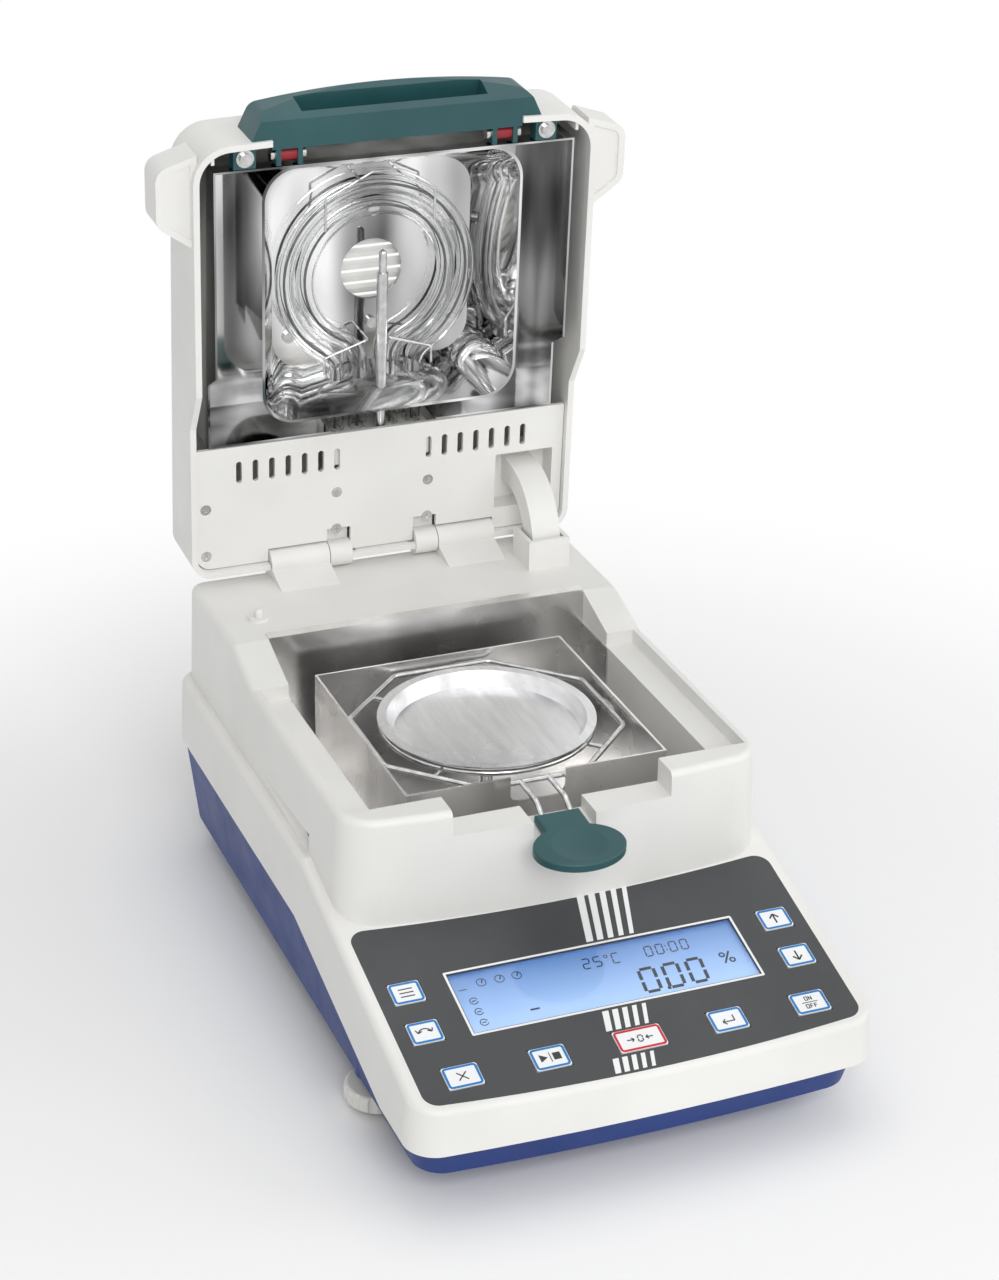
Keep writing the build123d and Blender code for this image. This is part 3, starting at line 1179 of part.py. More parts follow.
def handle_bar():
    """Bowed bar outside the lid's front wall with a long grip slot."""
    wall = -LID_FRONT_U + LID_FRONT_BOW * (HANDLE_HALF / LID_HALF) ** 2
    front = -LID_FRONT_U - HANDLE_DEPTH
    end = -LID_FRONT_U - HANDLE_END_DEPTH
    bow = ThreePointArc((-HANDLE_END_HALF, end), (0, front), (HANDLE_END_HALF, end))
    rest = Polyline((HANDLE_END_HALF, end), (HANDLE_HALF, wall), (-HANDLE_HALF, wall), (-HANDLE_END_HALF, end))
    face = make_face(bow.edges() + rest.edges())
    face = fillet(face.vertices().sort_by(Axis.Y)[:2], HANDLE_END_R)
    bar = Pos(0, 0, HANDLE_LOW_W) * extrude(face, HANDLE_HIGH_W - HANDLE_LOW_W)
    near = -LID_FRONT_U - HANDLE_NEAR_DEPTH
    bar = bar & side_profile([(wall + WALL, HANDLE_LOW_W), (near, HANDLE_LOW_W), (front, HANDLE_HIGH_W),
                              (wall + WALL, HANDLE_HIGH_W)])
    slot_end = HANDLE_SLOT_HALF - 4
    low = -LID_FRONT_U - HANDLE_DEPTH + HANDLE_SLOT_DEPTH
    slot = make_face(Polyline((-slot_end, low), (slot_end, low), (HANDLE_SLOT_HALF, 2 * front - low),
                              (-HANDLE_SLOT_HALF, 2 * front - low), close=True))
    slot = Pos(0, 0, HANDLE_SLOT_LOW_W) * extrude(slot, HANDLE_SLOT_HIGH_W - HANDLE_SLOT_LOW_W)
    return bar - slot - lid_form(0)


def handle_legs():
    """Strip through the lid's notch, two hollow legs and two screw brackets inside the lid."""
    inner = HANDLE_STRIP_U
    strip = lid_box(-HANDLE_NOTCH_HALF, HANDLE_NOTCH_HALF, inner, LID_FRONT_U, HANDLE_LOW_W, HANDLE_NOTCH_W)
    pieces = [strip]
    for side in (-1, 1):
        for edge in (-LEG_HALF, LEG_HALF - LEG_PLATE):
            x = side * LEG_X + edge
            pieces.append(lid_box(x, x + LEG_PLATE, LEG_END_U, inner, HANDLE_LOW_W, HANDLE_NOTCH_W))
        x = side * BRACKET_X
        pieces.append(lid_box(x - BRACKET_HALF, x + BRACKET_HALF, BRACKET_END_U, LID_FRONT_U - LID_FRONT_BOW - LID_WALL,
                              HANDLE_LOW_W + 1, HANDLE_NOTCH_W))
        pieces.append(lid_box(min(side * HANDLE_NOTCH_HALF, x), max(side * HANDLE_NOTCH_HALF, x), inner,
                              LID_FRONT_U - LID_FRONT_BOW - LID_WALL, HANDLE_NOTCH_W - 2, HANDLE_NOTCH_W))
    return group(pieces)


def bush_place():
    """Place (u, w) of the bushes in the handle's legs."""
    return LEG_END_U + 1.4 * BUSH_R, (HANDLE_LOW_W + HANDLE_NOTCH_W) / 2


def lid_handle():
    """One-piece teal handle."""
    u, w = bush_place()
    body = handle_bar() + handle_legs()
    bore = Pos(0, -u, w) * cross_bar(SCREW_SHANK_R, -HANDLE_NOTCH_HALF, HANDLE_NOTCH_HALF)
    for side in (-1, 1):
        body = body - Pos(side * BRACKET_X, -(BRACKET_END_U + BRACKET_HALF), 0) * disc(SCREW_SHANK_R, -FAR, FAR)
    return in_lid(body - bore)


def handle_screws():
    """Washered screws in the brackets and cross screws in the legs."""
    u, w = bush_place()
    pieces = []
    for side in (-1, 1):
        low = HANDLE_LOW_W + 1
        washer = disc(WASHER_R, low - SHEET_T, low)
        head = disc(SCREW_HEAD_R, low - SHEET_T - 1.5, low - SHEET_T)
        shank = disc(SCREW_SHANK_R, low, HANDLE_NOTCH_W)
        pieces.append(Pos(side * BRACKET_X, -(BRACKET_END_U + BRACKET_HALF), 0) * (washer + head + shank))
        inner = side * LEG_X - LEG_HALF
        outer = side * LEG_X + LEG_HALF
        rod = cross_bar(SCREW_SHANK_R, inner, outer)
        heads = cross_bar(SCREW_HEAD_R, outer, outer + 2) + cross_bar(SCREW_HEAD_R, inner - 2, inner)
        pieces.append(Pos(0, -u, w) * (rod + heads))
    return in_lid(group(pieces))


def bush_seals():
    """Red bushes between the plates of the handle's legs."""
    u, w = bush_place()
    half = LEG_HALF - LEG_PLATE
    bushes = []
    for side in (-1, 1):
        ring = cross_bar(BUSH_R, side * LEG_X - half, side * LEG_X + half)
        bushes.append(Pos(0, -u, w) * (ring - cross_bar(SCREW_SHANK_R, -FAR, FAR)))
    return in_lid(group(bushes))


# Cable duct

def duct_sector(inner_r, outer_r, half, end_angle, top_w):
    """Quarter-ring duct below the cover plane with a straight root above it."""
    ring = cross_bar(outer_r, -half, half) - cross_bar(inner_r, -half, half)
    wedge = make_face(Polyline((0, 0), (-FAR, 0), (-FAR * cos(radians(end_angle)), -FAR * sin(radians(end_angle))),
                               close=True))
    sector = ring & extrude(Plane.YZ * wedge, half, both=True)
    root = lid_box(-half, half, inner_r, outer_r, 0, top_w)
    return sector + root


def cable_duct():
    """Hollow curved duct that carries the lamp wires from the lid into the deck."""
    top = POCKET_W + POCKET_T
    outer = duct_sector(DUCT_INNER_R, DUCT_OUTER_R, DUCT_WIDTH / 2, DUCT_END_ANGLE, top)
    inner = duct_sector(DUCT_INNER_R + DUCT_WALL, DUCT_OUTER_R - DUCT_WALL, DUCT_WIDTH / 2 - DUCT_WALL,
                        DUCT_END_ANGLE + 1, top + WALL)
    return in_lid(Pos(DUCT_X, 0, 0) * (outer - inner))


def duct_grommet():
    """Round grommet in the duct's end."""
    middle = (DUCT_INNER_R + DUCT_OUTER_R) / 2
    half = DUCT_WIDTH / 2 - DUCT_WALL
    depth = (DUCT_OUTER_R - DUCT_INNER_R) / 2 - DUCT_WALL
    plug = Box(2 * half, 2 * depth, 2 * WALL) - Cylinder(depth - 1, 3 * WALL)
    plug = Pos(0, -middle, -WALL * 0.6) * plug
    keep = duct_sector(DUCT_INNER_R + DUCT_WALL, DUCT_OUTER_R - DUCT_WALL, half, WALL * 3, WALL)
    return in_lid(Pos(DUCT_X, 0, 0) * Rot(DUCT_END_ANGLE - 8, 0, 0) * (plug & keep))


def hinge_pins():
    """Two steel pins pressed into the barrels."""
    pin = cross_bar(HINGE_PIN_R, KNUCKLE_IN_X, BARREL_OUT_X - WALL)
    return Pos(0, HINGE_Y, HINGE_Z) * mirrored(pin)


# Feet, connectors and electronics

def foot_wheel(x):
    """Scalloped levelling wheel with its threaded stud."""
    low = FOOT_PAD_T
    wheel = disc(FOOT_WHEEL_R, low, low + FOOT_WHEEL_T)
    wheel = fillet(wheel.edges(), FOOT_SCALLOP_R)
    for i in range(FOOT_SCALLOPS):
        notch = Pos(FOOT_WHEEL_R + FOOT_SCALLOP_R / 3, 0, 0) * disc(FOOT_SCALLOP_R, 0, 2 * FOOT_WHEEL_T)
        wheel = wheel - Rot(0, 0, 360 / FOOT_SCALLOPS * i) * notch
    stud = disc(STUD_R, low + FOOT_WHEEL_T, STUD_TOP_Z)
    return Pos(x, FOOT_Y, 0) * (wheel + stud)


def foot_pad(x):
    """Round rubber pad under a levelling wheel."""
    return Pos(x, FOOT_Y, 0) * fillet(disc(FOOT_PAD_R, 0, FOOT_PAD_T).edges().sort_by(Axis.Z)[0], 0.8)


def rear_feet():
    """Two rubber feet under the rear bosses."""
    foot = Pos(REAR_FOOT_X, REAR_FOOT_Y, 0) * Cone(REAR_FOOT_R - 1, REAR_FOOT_R, PAN_REST_Z)
    return mirrored(Pos(0, 0, PAN_REST_Z / 2) * foot)


def connector_block(x, width, height, depth, rim):
    """Connector body whose face looks out of the pan's rear wall."""
    rear = BASE_REAR_Y - SEAM_LIP
    body = box_between(x - width / 2, x + width / 2, rear - depth, rear, INLET_Z - height / 2, INLET_Z + height / 2)
    mouth = box_between(x - width / 2 + rim, x + width / 2 - rim, rear - depth + rim, rear + WALL,
                        INLET_Z - height / 2 + rim, INLET_Z + height / 2 - rim)
    return body - mouth


def mains_inlet():
    """Three-blade mains inlet."""
    body = connector_block(INLET_X, INLET_WIDTH, INLET_HEIGHT, INLET_DEPTH, WALL - 0.6)
    rear = BASE_REAR_Y - SEAM_LIP
    blade = box_between(-1, 1, rear - INLET_DEPTH + 2, rear - WALL, -2, 2)
    blades = [Pos(INLET_X + dx, 0, INLET_Z + dz) * blade for dx, dz in ((-7, -2.5), (0, 3), (7, -2.5))]
    return body + blades


def serial_port():
    """Nine-pin data socket with its two jack posts."""
    body = connector_block(PORT_X, PORT_WIDTH, PORT_HEIGHT, PORT_DEPTH, WALL - 1)
    rear = BASE_REAR_Y - SEAM_LIP
    core = box_between(-8, 8, rear - PORT_DEPTH + 1, rear - 1, -3, 3)
    return body + Pos(PORT_X, 0, INLET_Z) * core


def standoffs(half_x, half_y, height):
    """Four posts at the corners of a board."""
    post = disc(BOSS_R, 0, height)
    return [Pos(x, y, 0) * post for x in (-half_x, half_x) for y in (-half_y, half_y)]


def power_supply():
    """Supply board on posts with a transformer, capacitors and a heat sink."""
    width, length, height = SUPPLY_SIZE
    board = box_between(-width / 2, width / 2, -length / 2, length / 2, STANDOFF_H, STANDOFF_H + BOARD_T)
    top = STANDOFF_H + BOARD_T
    block = box_between(-width / 2 + 4, 2, -length / 2 + 6, 0, top, top + height)
    cans = [Pos(width / 4, -length / 4 + 16 * i, 0) * disc(6, top, top + height * 0.8) for i in range(3)]
    sink = box_between(-width / 2 + 4, 2, length / 4, length / 4 + 2, top, top + height)
    place = Pos(SUPPLY_PLACE[0], SUPPLY_PLACE[1], PAN_BOTTOM_Z + WALL)
    return place * (board + block + cans + sink + standoffs(width / 2 - 5, length / 2 - 5, STANDOFF_H))


def main_board():
    """Logic board on posts with a processor, a shielded converter and connectors."""
    width, length = LOGIC_SIZE
    board = box_between(-width / 2, width / 2, -length / 2, length / 2, STANDOFF_H, STANDOFF_H + BOARD_T)
    top = STANDOFF_H + BOARD_T
    chip = box_between(-10, 10, -10, 10, top, top + 2)
    shield = box_between(18, 48, -14, 16, top, top + 6)
    plugs = [box_between(-50 + 24 * i, -34 + 24 * i, 18, 25, top, top + 5) for i in range(3)]
    place = Pos(0, LOGIC_Y, PAN_BOTTOM_Z + WALL)
    return place * (board + chip + shield + plugs + standoffs(width / 2 - 5, length / 2 - 5, STANDOFF_H))


PARTS = {
    "base_pan": base_pan,
    "upper_housing": upper_housing,
    "chamber_tub": chamber_tub,
    "chamber_sill": chamber_sill,
    "keypad_overlay": keypad_overlay,
    "display_window": display_window,
    "display_module": display_module,
    "keypad_board": keypad_board,
    "chamber_liner": chamber_liner,
    "draft_shield": draft_shield,
    "sample_dish": sample_dish,
    "pan_support": pan_support,
    "load_cell": load_cell,
    "lifter_frame": lifter_frame,
    "lifter_grip": lifter_grip,
    "lid_switch_plunger": lid_switch_plunger,
    "lid_switch": lid_switch,
    "lid_shell": lid_shell,
    "vent_grille": vent_grille,
    "lid_cover": lid_cover,
    "lid_screws": lid_screws,
    "heater_housing": heater_housing,
    "reflector": reflector,
    "halogen_lamps": halogen_lamps,
    "lamp_filaments": lamp_filaments,
    "lamp_holders": lamp_holders,
    "lamp_clips": lamp_clips,
    "temperature_probe": temperature_probe,
    "reflector_screws": reflector_screws,
    "lid_handle": lid_handle,
    "handle_screws": handle_screws,
    "bush_seals": bush_seals,
    "cable_duct": cable_duct,
    "duct_grommet": duct_grommet,
    "hinge_pins": hinge_pins,
    "rear_feet": rear_feet,
    "mains_inlet": mains_inlet,
    "serial_port": serial_port,
    "power_supply": power_supply,
    "main_board": main_board,
}

os.makedirs("parts", exist_ok=True)
for name, make in PARTS.items():
    export_step(make(), f"parts/{name}.step")
for name, x, down, width in KEYS:
    export_step(key_cap(x, down, width), f"parts/{name}.step")
for name, x in (("left", -FOOT_X), ("right", FOOT_X)):
    export_step(foot_wheel(x), f"parts/foot_wheel_{name}.step")
    export_step(foot_pad(x), f"parts/foot_pad_{name}.step")
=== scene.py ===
"""Looks, printed details, camera and light for the bench moisture analyzer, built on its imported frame."""
import json
from math import cos, pi, radians, sin

import bmesh
import bpy
from mathutils import Matrix, Vector


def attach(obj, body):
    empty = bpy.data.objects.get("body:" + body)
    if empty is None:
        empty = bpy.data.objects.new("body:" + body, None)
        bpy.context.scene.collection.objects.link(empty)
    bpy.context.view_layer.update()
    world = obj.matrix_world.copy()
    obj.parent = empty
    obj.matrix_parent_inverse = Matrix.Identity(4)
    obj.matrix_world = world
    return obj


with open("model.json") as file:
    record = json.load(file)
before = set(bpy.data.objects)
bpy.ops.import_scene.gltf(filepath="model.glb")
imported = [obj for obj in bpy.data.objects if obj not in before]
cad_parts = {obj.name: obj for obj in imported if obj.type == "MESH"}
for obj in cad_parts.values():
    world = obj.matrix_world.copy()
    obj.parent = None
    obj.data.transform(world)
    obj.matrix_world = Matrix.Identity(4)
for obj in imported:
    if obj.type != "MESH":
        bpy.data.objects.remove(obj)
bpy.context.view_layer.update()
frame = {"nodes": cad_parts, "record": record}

MM = 0.001

# Range of noise that is spread over the values of a material, and the scales of its patterns per metre
NOISE_LOW = 0.3
NOISE_HIGH = 0.7
DRIFT_SCALE = 18.0
SMUDGE_SCALE = 25.0
# Scale of the broad bands of painted reflection on polished sheet
PAINTED_REFLECTION_SCALE = 34.0
RIPPLE_SCALE = 22.0
GLOSS_SCALE = 60.0
GLASS_SCALE = 90.0
GRAIN_SCALE = 2400.0
GLOSS_SPREAD = 0.05
LINE_DEPTH = 0.00002
RIPPLE_DEPTH = 0.0001
GLASS_DEPTH = 0.00001

# Control panel, as in the part: corner line, slope and places on it in millimetres
PANEL_TOP_Y = -76.8
PANEL_TOP_Z = 76.3
PANEL_SLOPE = radians(14.03)
DISPLAY_WIDTH = 126.5
DISPLAY_HEIGHT = 33.0
DISPLAY_DOWN = 49.8
DISPLAY_RISE = -2.6
PRINT_T = 0.12
KEY_RISE = 0.3
KEY_CORNER = 1.6
KEYS = {
    "key_menu": (-82.3, 38.6, 13.2, 11.4),
    "key_unit": (-82.3, 60.8, 13.2, 11.4),
    "key_escape": (-75.9, 86.7, 15.0, 11.4),
    "key_start_stop": (-38.9, 86.7, 15.0, 11.4),
    "key_tare": (0.0, 86.7, 20.6, 11.4),
    "key_enter": (38.9, 86.7, 15.0, 11.4),
    "key_power": (75.9, 86.7, 15.0, 11.4),
    "key_up": (82.3, 38.6, 13.2, 11.4),
    "key_down": (82.3, 60.8, 13.2, 11.4),
}

KEY_FRAME_INSET = 0.5
KEY_FRAME_LINE = 1.0
SIGN_LINE = 0.5
DISPLAY_LINE = 1.0
DISPLAY_LINE_R = 0.6
DISPLAY_LINE_MARGIN = 2.6

# Stripes on the keypad film, above and below the display and below the key row: the edges of their band at
# the panel's top and how far they lean per millimetre down
STRIPES = 5
STRIPE_RUNS = ((4.4, 30.8), (69.0, 79.6), (94.0, 101.6))
BAND_LEFT = 6.7
BAND_LEFT_LEAN = 0.231
BAND_RIGHT = 32.4
BAND_RIGHT_LEAN = 0.293
STRIPE_PITCH = 1.02 / STRIPES
STRIPE_SHARE = 0.13
STRIPE_THINNING = 0.012

# Digits on the display: width, height, line and pitch
LARGE_DIGIT = (6.6, 12.6, 1.5, 10.6)
SMALL_DIGIT = (3.0, 5.4, 0.55, 5.0)
LARGE_ROW = 62.0
SMALL_ROW = 43.2
DIGIT_LEAN = 0.09
SEGMENT_T = 0.08

# Studio, in metres: the floor, the distances between which it turns plain white, and each light's place,
# target, size and power
FLOOR_HALF = 3.0
FLOOR_WHITE_FROM = 0.22
FLOOR_WHITE_TO = 0.55
FLOOR_COLOUR = (0.95, 0.95, 0.95)
WORLD_LIGHT = 0.5
LIGHTS = {
    "key_light": ((-0.35, -2.1, 1.5), (0, 0, 0.12), (1.3, 1.3), 28),
    "fill_light": ((1.7, -0.9, 1.1), (0, 0, 0.15), (1.2, 1.6), 8),
    "top_light": ((0.1, 0.2, 2.2), (0, 0, 0.1), (1.6, 1.6), 7),
}

# Camera fitted to the photograph, in millimetres and degrees
CAMERA_AZIMUTH = radians(-22.054)
CAMERA_ELEVATION = radians(26.059)
CAMERA_ROLL = radians(0.958)
CAMERA_PLACE = (-425.6, -1054.9, 714.9)
CAMERA_LENS = 82.88


# Node helpers

def new_material(name):
    """Material with its nodes, links and shader."""
    mat = bpy.data.materials.new(name)
    mat.use_nodes = True
    nodes = mat.node_tree.nodes
    return mat, nodes, mat.node_tree.links, nodes["Principled BSDF"]


def add_node(nodes, kind, **values):
    """Add a node and set its inputs by name."""
    node = nodes.new(kind)
    for key, value in values.items():
        node.inputs[key.replace("_", " ")].default_value = value
    return node


def object_coords(nodes, links, stretch=(1, 1, 1)):
    """Object coordinates, stretched along the axes."""
    coords = nodes.new("ShaderNodeTexCoord")
    mapping = nodes.new("ShaderNodeMapping")
    mapping.inputs["Scale"].default_value = stretch
    links.new(coords.outputs["Object"], mapping.inputs["Vector"])
    return mapping.outputs["Vector"]


def noise_ramp(nodes, links, vector, scale, detail, low, high):
    """Noise mapped to a range of values."""
    noise = add_node(nodes, "ShaderNodeTexNoise", Scale=scale, Detail=detail)
    links.new(vector, noise.inputs["Vector"])
    span = nodes.new("ShaderNodeMapRange")
    span.inputs["From Min"].default_value = NOISE_LOW
    span.inputs["From Max"].default_value = NOISE_HIGH
    span.inputs["To Min"].default_value = low
    span.inputs["To Max"].default_value = high
    links.new(noise.outputs["Fac"], span.inputs["Value"])
    return span.outputs["Result"]


def tint(nodes, links, factor, dark, light):
    """Mix of two colours by a factor."""
    mix = nodes.new("ShaderNodeMix")
    mix.data_type = "RGBA"
    mix.inputs["A"].default_value = (*dark, 1)
    mix.inputs["B"].default_value = (*light, 1)
    links.new(factor, mix.inputs["Factor"])
    return mix.outputs["Result"]


def add_bump(nodes, links, bsdf, height, distance, strength):
    """Bump on the shader."""
    bump = add_node(nodes, "ShaderNodeBump", Distance=distance, Strength=strength)
    links.new(height, bump.inputs["Height"])
    links.new(bump.outputs["Normal"], bsdf.inputs["Normal"])


# Materials

def moulded(name, dark, light, roughness, grain=0.00004):
    """Moulded plastic: faint colour drift, fine spark-eroded grain and uneven gloss."""
    mat, nodes, links, bsdf = new_material(name)
    vector = object_coords(nodes, links)
    drift = noise_ramp(nodes, links, vector, DRIFT_SCALE, 3.0, 0.0, 1.0)
    links.new(tint(nodes, links, drift, dark, light), bsdf.inputs["Base Color"])
    low = roughness - GLOSS_SPREAD
    high = roughness + GLOSS_SPREAD
    gloss = noise_ramp(nodes, links, vector, GLOSS_SCALE, 2.0, low, high)
    links.new(gloss, bsdf.inputs["Roughness"])
    fine = noise_ramp(nodes, links, vector, GRAIN_SCALE, 2.0, 0.0, 1.0)
    add_bump(nodes, links, bsdf, fine, grain, 0.35)
    return mat


def metal(name, dark, light, low, high, stretch, scale=300.0):
    """Metal with drawn or rolled lines along one axis and smudged gloss."""
    mat, nodes, links, bsdf = new_material(name)
    lines = object_coords(nodes, links, stretch)
    streaks = noise_ramp(nodes, links, lines, scale, 4.0, 0.0, 1.0)
    links.new(tint(nodes, links, streaks, dark, light), bsdf.inputs["Base Color"])
    smudge = noise_ramp(nodes, links, object_coords(nodes, links), SMUDGE_SCALE, 3.0, low, high)
    links.new(smudge, bsdf.inputs["Roughness"])
    add_bump(nodes, links, bsdf, streaks, LINE_DEPTH, 0.25)
    bsdf.inputs["Metallic"].default_value = 1.0
    return mat


def metal_with_painted_reflections(name, dark, light, low, high, stretch, ripple_strength):
    """Polished sheet with broad dark and bright bands of painted reflection in its colour, and faint smudges.
    """
    mat, nodes, links, bsdf = new_material(name)
    # Base colour runs between dark and light in broad bands: painted reflection of dark and bright
    # surroundings
    painted_reflection_bands = noise_ramp(nodes, links, object_coords(nodes, links, stretch), PAINTED_REFLECTION_SCALE, 1.5, 0.0, 1.0)
    links.new(tint(nodes, links, painted_reflection_bands, dark, light), bsdf.inputs["Base Color"])
    smudge = noise_ramp(nodes, links, object_coords(nodes, links), SMUDGE_SCALE, 3.0, low, high)
    links.new(smudge, bsdf.inputs["Roughness"])
    ripple = noise_ramp(nodes, links, object_coords(nodes, links), RIPPLE_SCALE, 1.0, 0.0, 1.0)
    add_bump(nodes, links, bsdf, ripple, RIPPLE_DEPTH, ripple_strength)
    bsdf.inputs["Metallic"].default_value = 1.0
    return mat


def clear_glass(name, colour, roughness, ior):
    """Clear glass with a faint waviness."""
    mat, nodes, links, bsdf = new_material(name)
    vector = object_coords(nodes, links)
    ripple = noise_ramp(nodes, links, vector, GLASS_SCALE, 2.0, 0.0, 1.0)
    add_bump(nodes, links, bsdf, ripple, GLASS_DEPTH, 0.1)
    links.new(tint(nodes, links, ripple, colour, (1, 1, 1)), bsdf.inputs["Base Color"])
    bsdf.inputs["Roughness"].default_value = roughness
    bsdf.inputs["IOR"].default_value = ior
    bsdf.inputs["Transmission Weight"].default_value = 1.0
    return mat


def display_glow(name):
    """Backlit display: blue that pales towards its lower edge."""
    mat, nodes, links, bsdf = new_material(name)
    coords = nodes.new("ShaderNodeTexCoord")
    split = nodes.new("ShaderNodeSeparateXYZ")
    links.new(coords.outputs["Object"], split.inputs["Vector"])
    fade = nodes.new("ShaderNodeMapRange")
    middle = PANEL_TOP_Y - DISPLAY_DOWN
    fade.inputs["From Min"].default_value = (middle - DISPLAY_HEIGHT / 2) * MM
    fade.inputs["From Max"].default_value = (middle + DISPLAY_HEIGHT / 2) * MM
    links.new(split.outputs["Y"], fade.inputs["Value"])
    colour = tint(nodes, links, fade.outputs["Result"], (0.40, 0.58, 0.86), (0.13, 0.25, 0.52))
    links.new(colour, bsdf.inputs["Base Color"])
    links.new(colour, bsdf.inputs["Emission Color"])
    bsdf.inputs["Emission Strength"].default_value = 0.35
    bsdf.inputs["Roughness"].default_value = 0.35
    return mat


MATERIALS = {
    "housing_white": moulded("housing_white", (0.76, 0.755, 0.73), (0.82, 0.815, 0.79), 0.42),
    "pan_blue": moulded("pan_blue", (0.001, 0.024, 0.16), (0.003, 0.034, 0.20), 0.45),
    "handle_teal": moulded("handle_teal", (0.008, 0.060, 0.068), (0.016, 0.085, 0.092), 0.42),
    "overlay_grey": moulded("overlay_grey", (0.042, 0.045, 0.049), (0.054, 0.057, 0.061), 0.55),
    "key_white": moulded("key_white", (0.84, 0.85, 0.86), (0.90, 0.91, 0.92), 0.40),
    "display_blue": display_glow("display_blue"),
    "window_clear": clear_glass("window_clear", (0.96, 0.98, 1.0), 0.02, 1.3),
    "board_green": moulded("board_green", (0.010, 0.09, 0.03), (0.02, 0.13, 0.05), 0.4),
    # Mirror steel: near-black to white bands in its colour, painted reflection
    "mirror_steel": metal_with_painted_reflections("mirror_steel", (0.10, 0.10, 0.10), (0.96, 0.96, 0.96), 0.03, 0.08,
                                   (1, 1, 0.3), 0.04),
    # Sheet steel: paler bands in its colour, also painted reflection
    "sheet_steel": metal_with_painted_reflections("sheet_steel", (0.60, 0.59, 0.58), (0.88, 0.87, 0.86), 0.20, 0.32,
                                  (1, 1, 0.12), 0.05),
    "dish_aluminium": metal("dish_aluminium", (0.70, 0.70, 0.71), (0.84, 0.84, 0.85), 0.22, 0.36,
                            (1, 0.1, 1)),
    "cell_aluminium": metal("cell_aluminium", (0.62, 0.62, 0.63), (0.75, 0.75, 0.76), 0.3, 0.45, (0.1, 1, 1)),
    "wire_steel": metal("wire_steel", (0.50, 0.50, 0.50), (0.68, 0.68, 0.68), 0.14, 0.26, (1, 1, 1)),
    "lamp_glass": clear_glass("lamp_glass", (0.97, 0.98, 0.98), 0.0, 1.42),
    "filament_metal": metal("filament_metal", (0.10, 0.10, 0.10), (0.24, 0.23, 0.22), 0.4, 0.6, (1, 1, 1),
                            2500.0),
    "ceramic_white": moulded("ceramic_white", (0.72, 0.71, 0.67), (0.80, 0.79, 0.75), 0.7, 0.00008),
    "bush_red": moulded("bush_red", (0.22, 0.006, 0.012), (0.30, 0.010, 0.018), 0.45),
    "grommet_brown": moulded("grommet_brown", (0.07, 0.03, 0.018), (0.11, 0.05, 0.03), 0.6),
    "rubber_dark": moulded("rubber_dark", (0.010, 0.010, 0.010), (0.02, 0.02, 0.02), 0.7, 0.00008),
    "foot_white": moulded("foot_white", (0.70, 0.69, 0.65), (0.78, 0.77, 0.73), 0.45),
    "inlet_black": moulded("inlet_black", (0.010, 0.010, 0.011), (0.018, 0.018, 0.02), 0.4),
}
PRINTS = {
    "print_white": moulded("print_white", (0.84, 0.84, 0.84), (0.90, 0.90, 0.90), 0.5),
    "print_blue": moulded("print_blue", (0.0, 0.17, 0.48), (0.005, 0.20, 0.54), 0.5),
    "print_red": moulded("print_red", (0.55, 0.008, 0.02), (0.62, 0.012, 0.03), 0.5),
    "print_ink": moulded("print_ink", (0.018, 0.02, 0.026), (0.03, 0.032, 0.04), 0.5),
    "print_segment": moulded("print_segment", (0.010, 0.014, 0.030), (0.02, 0.026, 0.05), 0.4),
}


def dress_nodes():
    """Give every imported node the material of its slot."""
    for part in frame["record"]["subparts"]:
        node = frame["nodes"][part["node"]]
        node.data.materials.clear()
        node.data.materials.append(MATERIALS[part["material_slot"]])


# Printed details

def panel_point(x, down, rise):
    """Place on the control panel, in metres."""
    y = PANEL_TOP_Y - down * cos(PANEL_SLOPE) - rise * sin(PANEL_SLOPE)
    z = PANEL_TOP_Z - down * sin(PANEL_SLOPE) + rise * cos(PANEL_SLOPE)
    return Vector((x, y, z)) * MM


def link_mesh(name, bm, material, body):
    """Turn a bmesh into an object that rides on a body."""
    bmesh.ops.recalc_face_normals(bm, faces=bm.faces)
    mesh = bpy.data.meshes.new(name)
    bm.to_mesh(mesh)
    bm.free()
    piece = bpy.data.objects.new(name, mesh)
    bpy.context.scene.collection.objects.link(piece)
    mesh.materials.append(material)
    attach(piece, body)
    return piece


def print_shapes(name, shapes, rise, material, body, thickness=PRINT_T):
    """Thin raised print on the panel from closed outlines of (x, down) points."""
    bm = bmesh.new()
    for outline in shapes:
        low = [bm.verts.new(panel_point(x, down, rise)) for x, down in outline]
        high = [bm.verts.new(panel_point(x, down, rise + thickness)) for x, down in outline]
        bm.faces.new(low)
        bm.faces.new(high)
        for i in range(len(outline)):
            j = (i + 1) % len(outline)
            bm.faces.new((low[i], low[j], high[j], high[i]))
    return link_mesh(name, bm, material, body)


def rounded_loop(x, down, width, height, radius, steps=5):
    """Points of a rounded rectangle."""
    points = []
    for quarter, (sx, sy) in enumerate(((1, 1), (-1, 1), (-1, -1), (1, -1))):
        cx = x + sx * (width / 2 - radius)
        cy = down + sy * (height / 2 - radius)
        for i in range(steps + 1):
            angle = (quarter + i / steps) * pi / 2
            points.append((cx + radius * cos(angle), cy + radius * sin(angle)))
    return points


def print_frame(name, x, down, width, height, radius, line, rise, material, body):
    """Thin raised frame of a rounded rectangle."""
    outer = rounded_loop(x, down, width, height, radius)
    inner = rounded_loop(x, down, width - 2 * line, height - 2 * line, max(radius - line, 0.1))
    shapes = []
    for i in range(len(outer)):
        j = (i + 1) % len(outer)
        shapes.append([outer[i], outer[j], inner[j], inner[i]])
    return print_shapes(name, shapes, rise, material, body)


def bar(x0, d0, x1, d1, width):
    """Straight bar between two places as a four-sided outline."""
    run = Vector((x1 - x0, d1 - d0))
    side = Vector((-run.y, run.x)).normalized() * width / 2
    return [(x0 + side.x, d0 + side.y), (x1 + side.x, d1 + side.y), (x1 - side.x, d1 - side.y),
            (x0 - side.x, d0 - side.y)]


